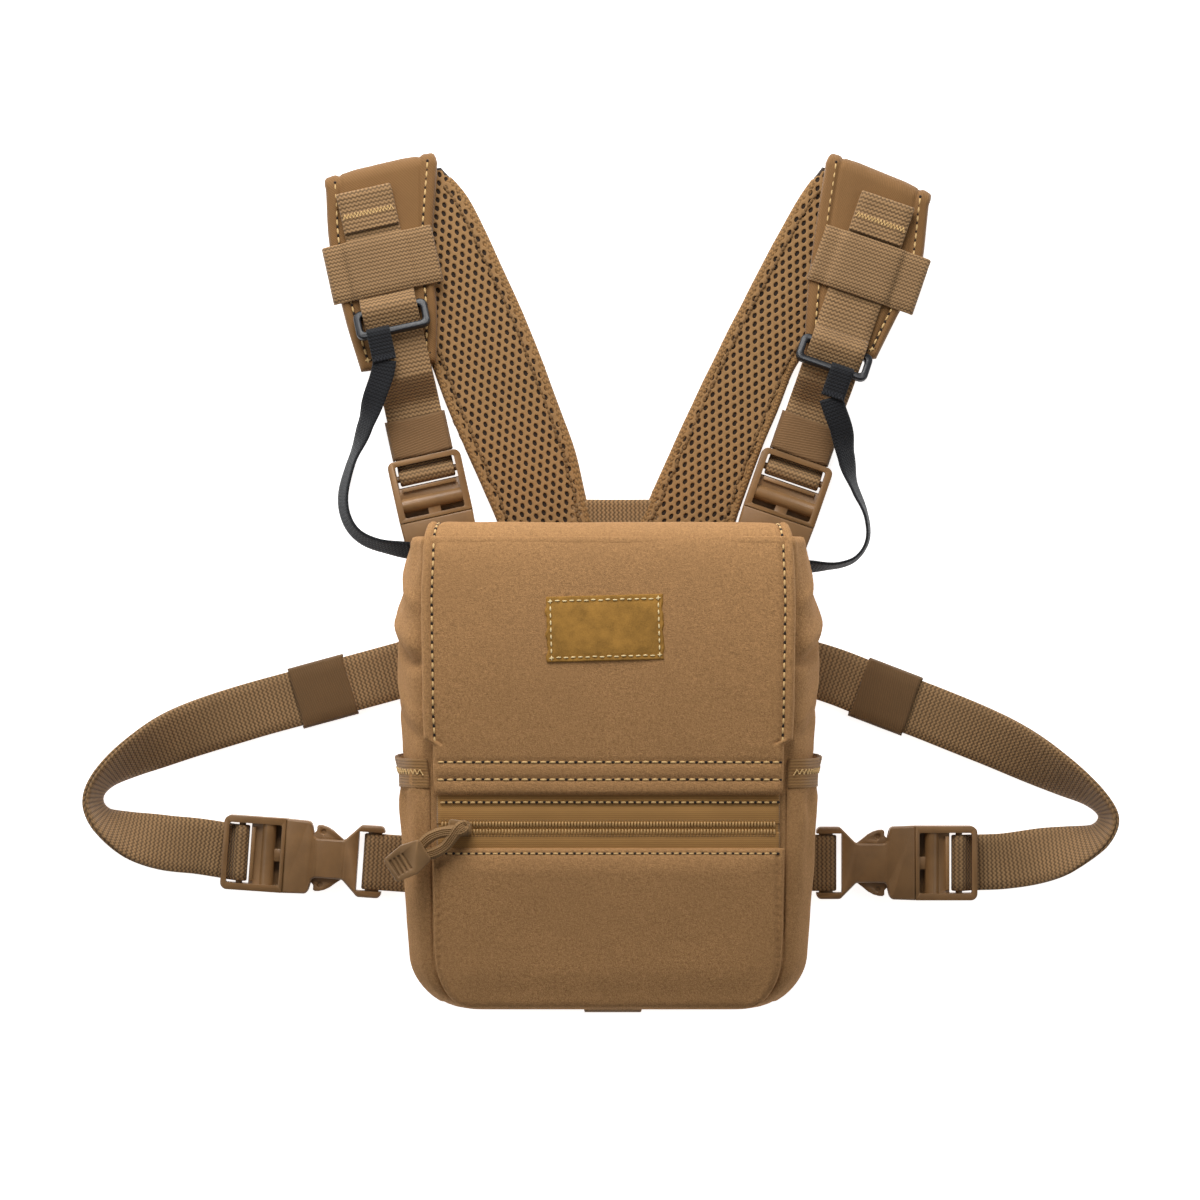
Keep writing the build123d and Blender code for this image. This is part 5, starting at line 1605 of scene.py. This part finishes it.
for word, hand in (("left", -1), ("right", 1)):
    route = cord_route(tether_routes[word], 90)
    banks = [(k / 7, value) for k, value in enumerate(tether_banks[word])]
    line = []
    for k, spot in enumerate(route):
        a, b = Vector(route[max(k - 1, 0)]), Vector(route[min(k + 1, len(route) - 1)])
        tangent = (b - a).normalized()
        level = Vector((-tangent.y, tangent.x, 0)).normalized()
        bank = math.radians(line_through(banks, k / (len(route) - 1)))
        level = Matrix.Rotation(bank, 3, tangent) @ level
        lift = abs(level.z) * TETHER_WIDTH / 2 * MM
        raised = Vector(spot)
        raised.z = max(raised.z, lift + 0.9 * MM)
        line.append((raised, level))
    tether = ribbon(word + "_tether_webbing", line, TETHER_WIDTH * MM, TETHER_THICK * MM)
    dress(tether, None, tether_cloth, "tether_webbing", word + "_tether")
    length = sum((b[0] - a[0]).length for a, b in zip(line, line[1:]))
    print(word, "tether length in mm", round(length / MM, 1))
    tuple(line[-1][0])
    tuple(line[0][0])
    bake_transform(tether)
    tuple(line[-1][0])
    [tuple(p) for p, _ in line[::-1]]

    at, ring = strap_at[word], RING_AT[word]
    offset = -7.0 if hand < 0 else 5.0
    y, z = ring - 4.89, 18.28
    hook = [(ring - 17.4, 18.75), (ring - 14, 19.1), (ring - 9.5, 19.7)]
    hook += bar_turn(y, z, 2.1, 105, -105, 9)
    hook += [(ring - 9.5, 16.9), (ring - 14, 17.4), (ring - 17.4, 17.5)]

    def shifted(px, py, pz, at=at, offset=offset):
        return at(px + offset, py, pz)

    lay_ribbon(word + "_tether_hook", shifted, hook, TETHER_WIDTH, TETHER_THICK, word + "_ring_body",
               tether_cloth, "tether_webbing", (word + "_tether_end",), step=0.6)
    for number, y in enumerate((ring - 11.0, ring - 16.0)):
        zigzag_tack(f"{word}_tether_tack_{number + 1}", shifted, y, 4.4, 19.75 - 0.35 * number,
                    word + "_ring_body", black_thread, 6, 0.9)

# %% [markdown]
# ## Side straps
# Each strap leaves the harness under the pack, lies flat, stands up on its edge round a wide bend and
# comes back flat to the lower buckle. It is doubled: the webbing goes round the plug's bar and its tail
# lies on the first ply as far as an elastic keeper.

# %% Side straps and keepers

strap_lines = {
    "left": ((-46, 57.4, 0), (-95, 44.0, 0), (-128, 35.0, 0), (-161, 26.0, 3), (-190, 16.5, 22),
             (-211, 6.5, 50), (-225, -3.5, 72), (-230, -13, 80), (-226, -22, 72), (-214, -29, 45),
             (-199, -32.8, 18), (-184, -34.6, 3), (-172, -36.5, 0)),
    "right": ((52, 54.5, 0), (95.4, 43.8, 0), (124.7, 32.6, 0), (149, 23.3, 3), (178, 11, 22), (202, -2, 50),
              (217, -12, 72), (223.5, -21, 80), (219, -29.5, 72), (206, -35.5, 45), (192, -39, 18),
              (178, -41.3, 3), (165.5, -41.9, 0))}
lower_at = {"left": place_at(-100.9, -41.7, 86.0), "right": place_at(93.4, -41.9, -90.0)}
PLY = 0.68


def strap_frames(word, hand, ply):
    """(point, across) along one ply, in metres; ply is its distance above the strap's middle layer."""
    path = smooth_line(strap_lines[word], 1.6)
    made = []
    for k, (x, y, bank) in enumerate(path):
        a, b = path[max(k - 1, 0)], path[min(k + 1, len(path) - 1)]
        along = Vector((b[0] - a[0], b[1] - a[1], 0)).normalized()
        outer = Vector((-along.y, along.x, 0)) * hand
        turn = math.radians(max(bank, 0))
        across = outer * math.cos(turn) + Vector((0, 0, 1)) * math.sin(turn)
        normal = Vector((0, 0, 1)) * math.cos(turn) - outer * math.sin(turn)
        wave = 0.25 * ripple(k * 1.6, ply * 9, 25, hand + 4.0)
        spot = Vector((x, y, 1.8 + 12.5 * math.sin(turn))) + normal * (ply + wave * abs(ply))
        made.append((spot * MM, across))
    return made


for word, hand in (("left", -1), ("right", 1)):
    at = lower_at[word]
    under = strap_frames(word, hand, -PLY)
    over = strap_frames(word, hand, PLY)
    side = under[-1][1]
    across = (at(1, 0, 0) - at(0, 0, 0)).normalized()
    if across.dot(side) < 0:
        across = -across
    turn = [(68.5, 1.35)] + bar_turn(64.0, 5.0, ROLL, -50, -310, 12) + [(67.2, 5.6), (69.5, 3.2)]
    loop = [(at(0, y, z), across) for y, z in smooth_line(turn, 0.7)]
    whole = under + loop + over[::-1]
    whole = whole[:len(whole) - 24]
    strap = ribbon(word + "_strap", whole, WEB_WIDTH * MM, 1.25 * MM)
    dress(strap, None, web_cloth, "webbing", word + "_side_strap")
    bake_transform(strap)

keeper_places = {"left": place_at(-128.0, 35.0, 15.25 + 90), "right": place_at(124.7, 32.6, -20.9 + 90)}
for word, at in keeper_places.items():
    folded_sleeve(word + "_elastic_keeper", at, -12.6, 12.6, 13.1, 0.55, 3.3, 0.9, word + "_keeper_body",
                  keeper_cloth, "elastic_band", (word + "_strap_keeper",))

# %% [markdown]
# ## Buckles
# Four side-release buckles, all alike. Each has a socket, a plug with its adjuster bars, and two spring
# levers. The CAD shapes are kept and only their edges are softened, so the parts still fit each other.

# %% Buckles, tabs, yoke and loops

for word in ("left", "right"):
    for level, plug_body in (("upper", word + "_shoulder"), ("lower", word + "_lower_buckle")):
        name = f"{word}_{level}"
        softened(name + "_socket", "root", buckle_stuff, "buckle_plastic", 0.45, 3)
        softened(name + "_plug", plug_body, buckle_stuff, "buckle_plastic", 0.45, 3)
        for lever in ("a", "b"):
            softened(f"{name}_lever_{lever}", f"{name}_lever_{lever}_body", buckle_stuff, "buckle_plastic",
                     0.4, 3)


def anchor(name, at, reach, stands):
    """A tab of webbing round a socket's bar, both ends sewn into the pack."""
    points = [(-reach, 2.5), (0, 2.5)] + bar_turn(5.9, 5.0, 2.5, -90, 90, 9) + [(0, 7.5), (-reach, 7.6)]
    lay_ribbon(name, at, points, WEB_WIDTH, 1.35, "root", web_cloth, "webbing", stands, step=0.8)


def shifted_frame(at, shift):
    return lambda px, py, pz: at(px, py + shift, pz)


for word in ("left", "right"):
    anchor(word + "_lower_tab", lower_at[word], 15.0, ("lower_anchor_tabs",))
    anchor(word + "_upper_tab", shifted_frame(strap_at[word], -58.1), 4.4, ("upper_anchor_tabs",))

yoke = softened("harness_yoke", "root", pad_cloth, "pad_cordura", 2.0, 4, name="yoke_pad")
bridge = [(-20.0, 114.6, 4.2), (-12.0, 114.6, 5.0), (-4.0, 114.6, 4.3), (4.0, 114.6, 3.9), (12.0, 114.6, 4.4),
          (20.0, 114.6, 5.2), (28.0, 114.6, 4.2)]
bridge_line = [(Vector(p) * MM, Vector((0, -1, 0))) for p in smooth_line(bridge, 0.8)]
bridge_band = ribbon("bridge_webbing", bridge_line, 13.0 * MM, 1.5 * MM)
dress(bridge_band, "root", web_cloth, "webbing", "yoke_bridge_webbing")

loop_path = [(-102.6, 28.0), (-103.9, 26.4), (-105.4, 27.2), (-106.3, 33.0), (-106.5, 45.0), (-106.3, 58.0),
             (-105.4, 63.4), (-103.9, 64.0), (-102.6, 62.5)]
loop_line = [(Vector((2.0, y + 3.2, z)) * MM, Vector((1, 0, 0))) for y, z in smooth_line(loop_path, 0.8)]
bottom_band = ribbon("bottom_loop_webbing", loop_line, WEB_WIDTH * MM, 1.4 * MM)
dress(bottom_band, "root", web_cloth, "webbing", "bottom_webbing")
metal = moulded("magnet_nickel", tone(150, 150, 152), 900.0, 0.00001, 0.3)
for node, body_name in (("front_magnets", "root"), ("lid_magnets", "lid")):
    softened(node, body_name, metal, "magnet", 0.3, 2)

# %% [markdown]
# ## Floor, light and camera
# The pack lies on a white table. One wide lamp above its top edge gives the soft shade under every
# strap, and a bright sky keeps the table white. The camera looks straight down from about two metres.

# %% Set


def floor_finish():
    """White card that glows a little, so that it stays white and only the closest shade shows on it."""
    t = Tree("white_table")
    return t.finish((0.93, 0.93, 0.93, 1.0), Roughness=0.9, Specular_IOR_Level=0.1,
                    Emission_Color=(1.0, 1.0, 1.0, 1.0), Emission_Strength=0.85)


table_mesh = bpy.data.meshes.new("table")
reach = 4.0
table_mesh.from_pydata([(-reach, -reach, -0.0005), (reach, -reach, -0.0005), (reach, reach, -0.0005),
                        (-reach, reach, -0.0005)], [], [(0, 1, 2, 3)])
table = new_object("table", table_mesh, smooth=False)
table.data.materials.append(floor_finish())

lamps = (("key_lamp", (-0.12, 0.76, 0.50), 0.6, 9.6), ("side_lamp", (0.95, 0.15, 0.7), 0.7, 2.2),
         ("other_side_lamp", (-0.95, 0.1, 0.7), 0.7, 2.2))
for name, spot, size, power in lamps:
    light = bpy.data.lights.new(name, "AREA")
    light.size = size
    light.energy = power
    lamp = bpy.data.objects.new(name, light)
    bpy.context.scene.collection.objects.link(lamp)
    lamp.location = spot
    lamp.rotation_euler = (Vector((0, 0.05, 0)) - Vector(spot)).to_track_quat("-Z", "Y").to_euler()

world = bpy.data.worlds.new("bright_room")
bpy.context.scene.world = world
world.use_nodes = True
world.node_tree.nodes["Background"].inputs["Color"].default_value = (1.0, 1.0, 1.0, 1.0)
world.node_tree.nodes["Background"].inputs["Strength"].default_value = 0.16
bpy.context.scene.view_settings.view_transform = "Standard"

camera_data = bpy.data.cameras.new("camera")
camera_data.lens = 126.7
camera_data.sensor_width = 36.0
camera = bpy.data.objects.new("camera", camera_data)
bpy.context.scene.collection.objects.link(camera)
camera.location = (-0.0036, 0.076, 1.9)
bpy.context.scene.camera = camera
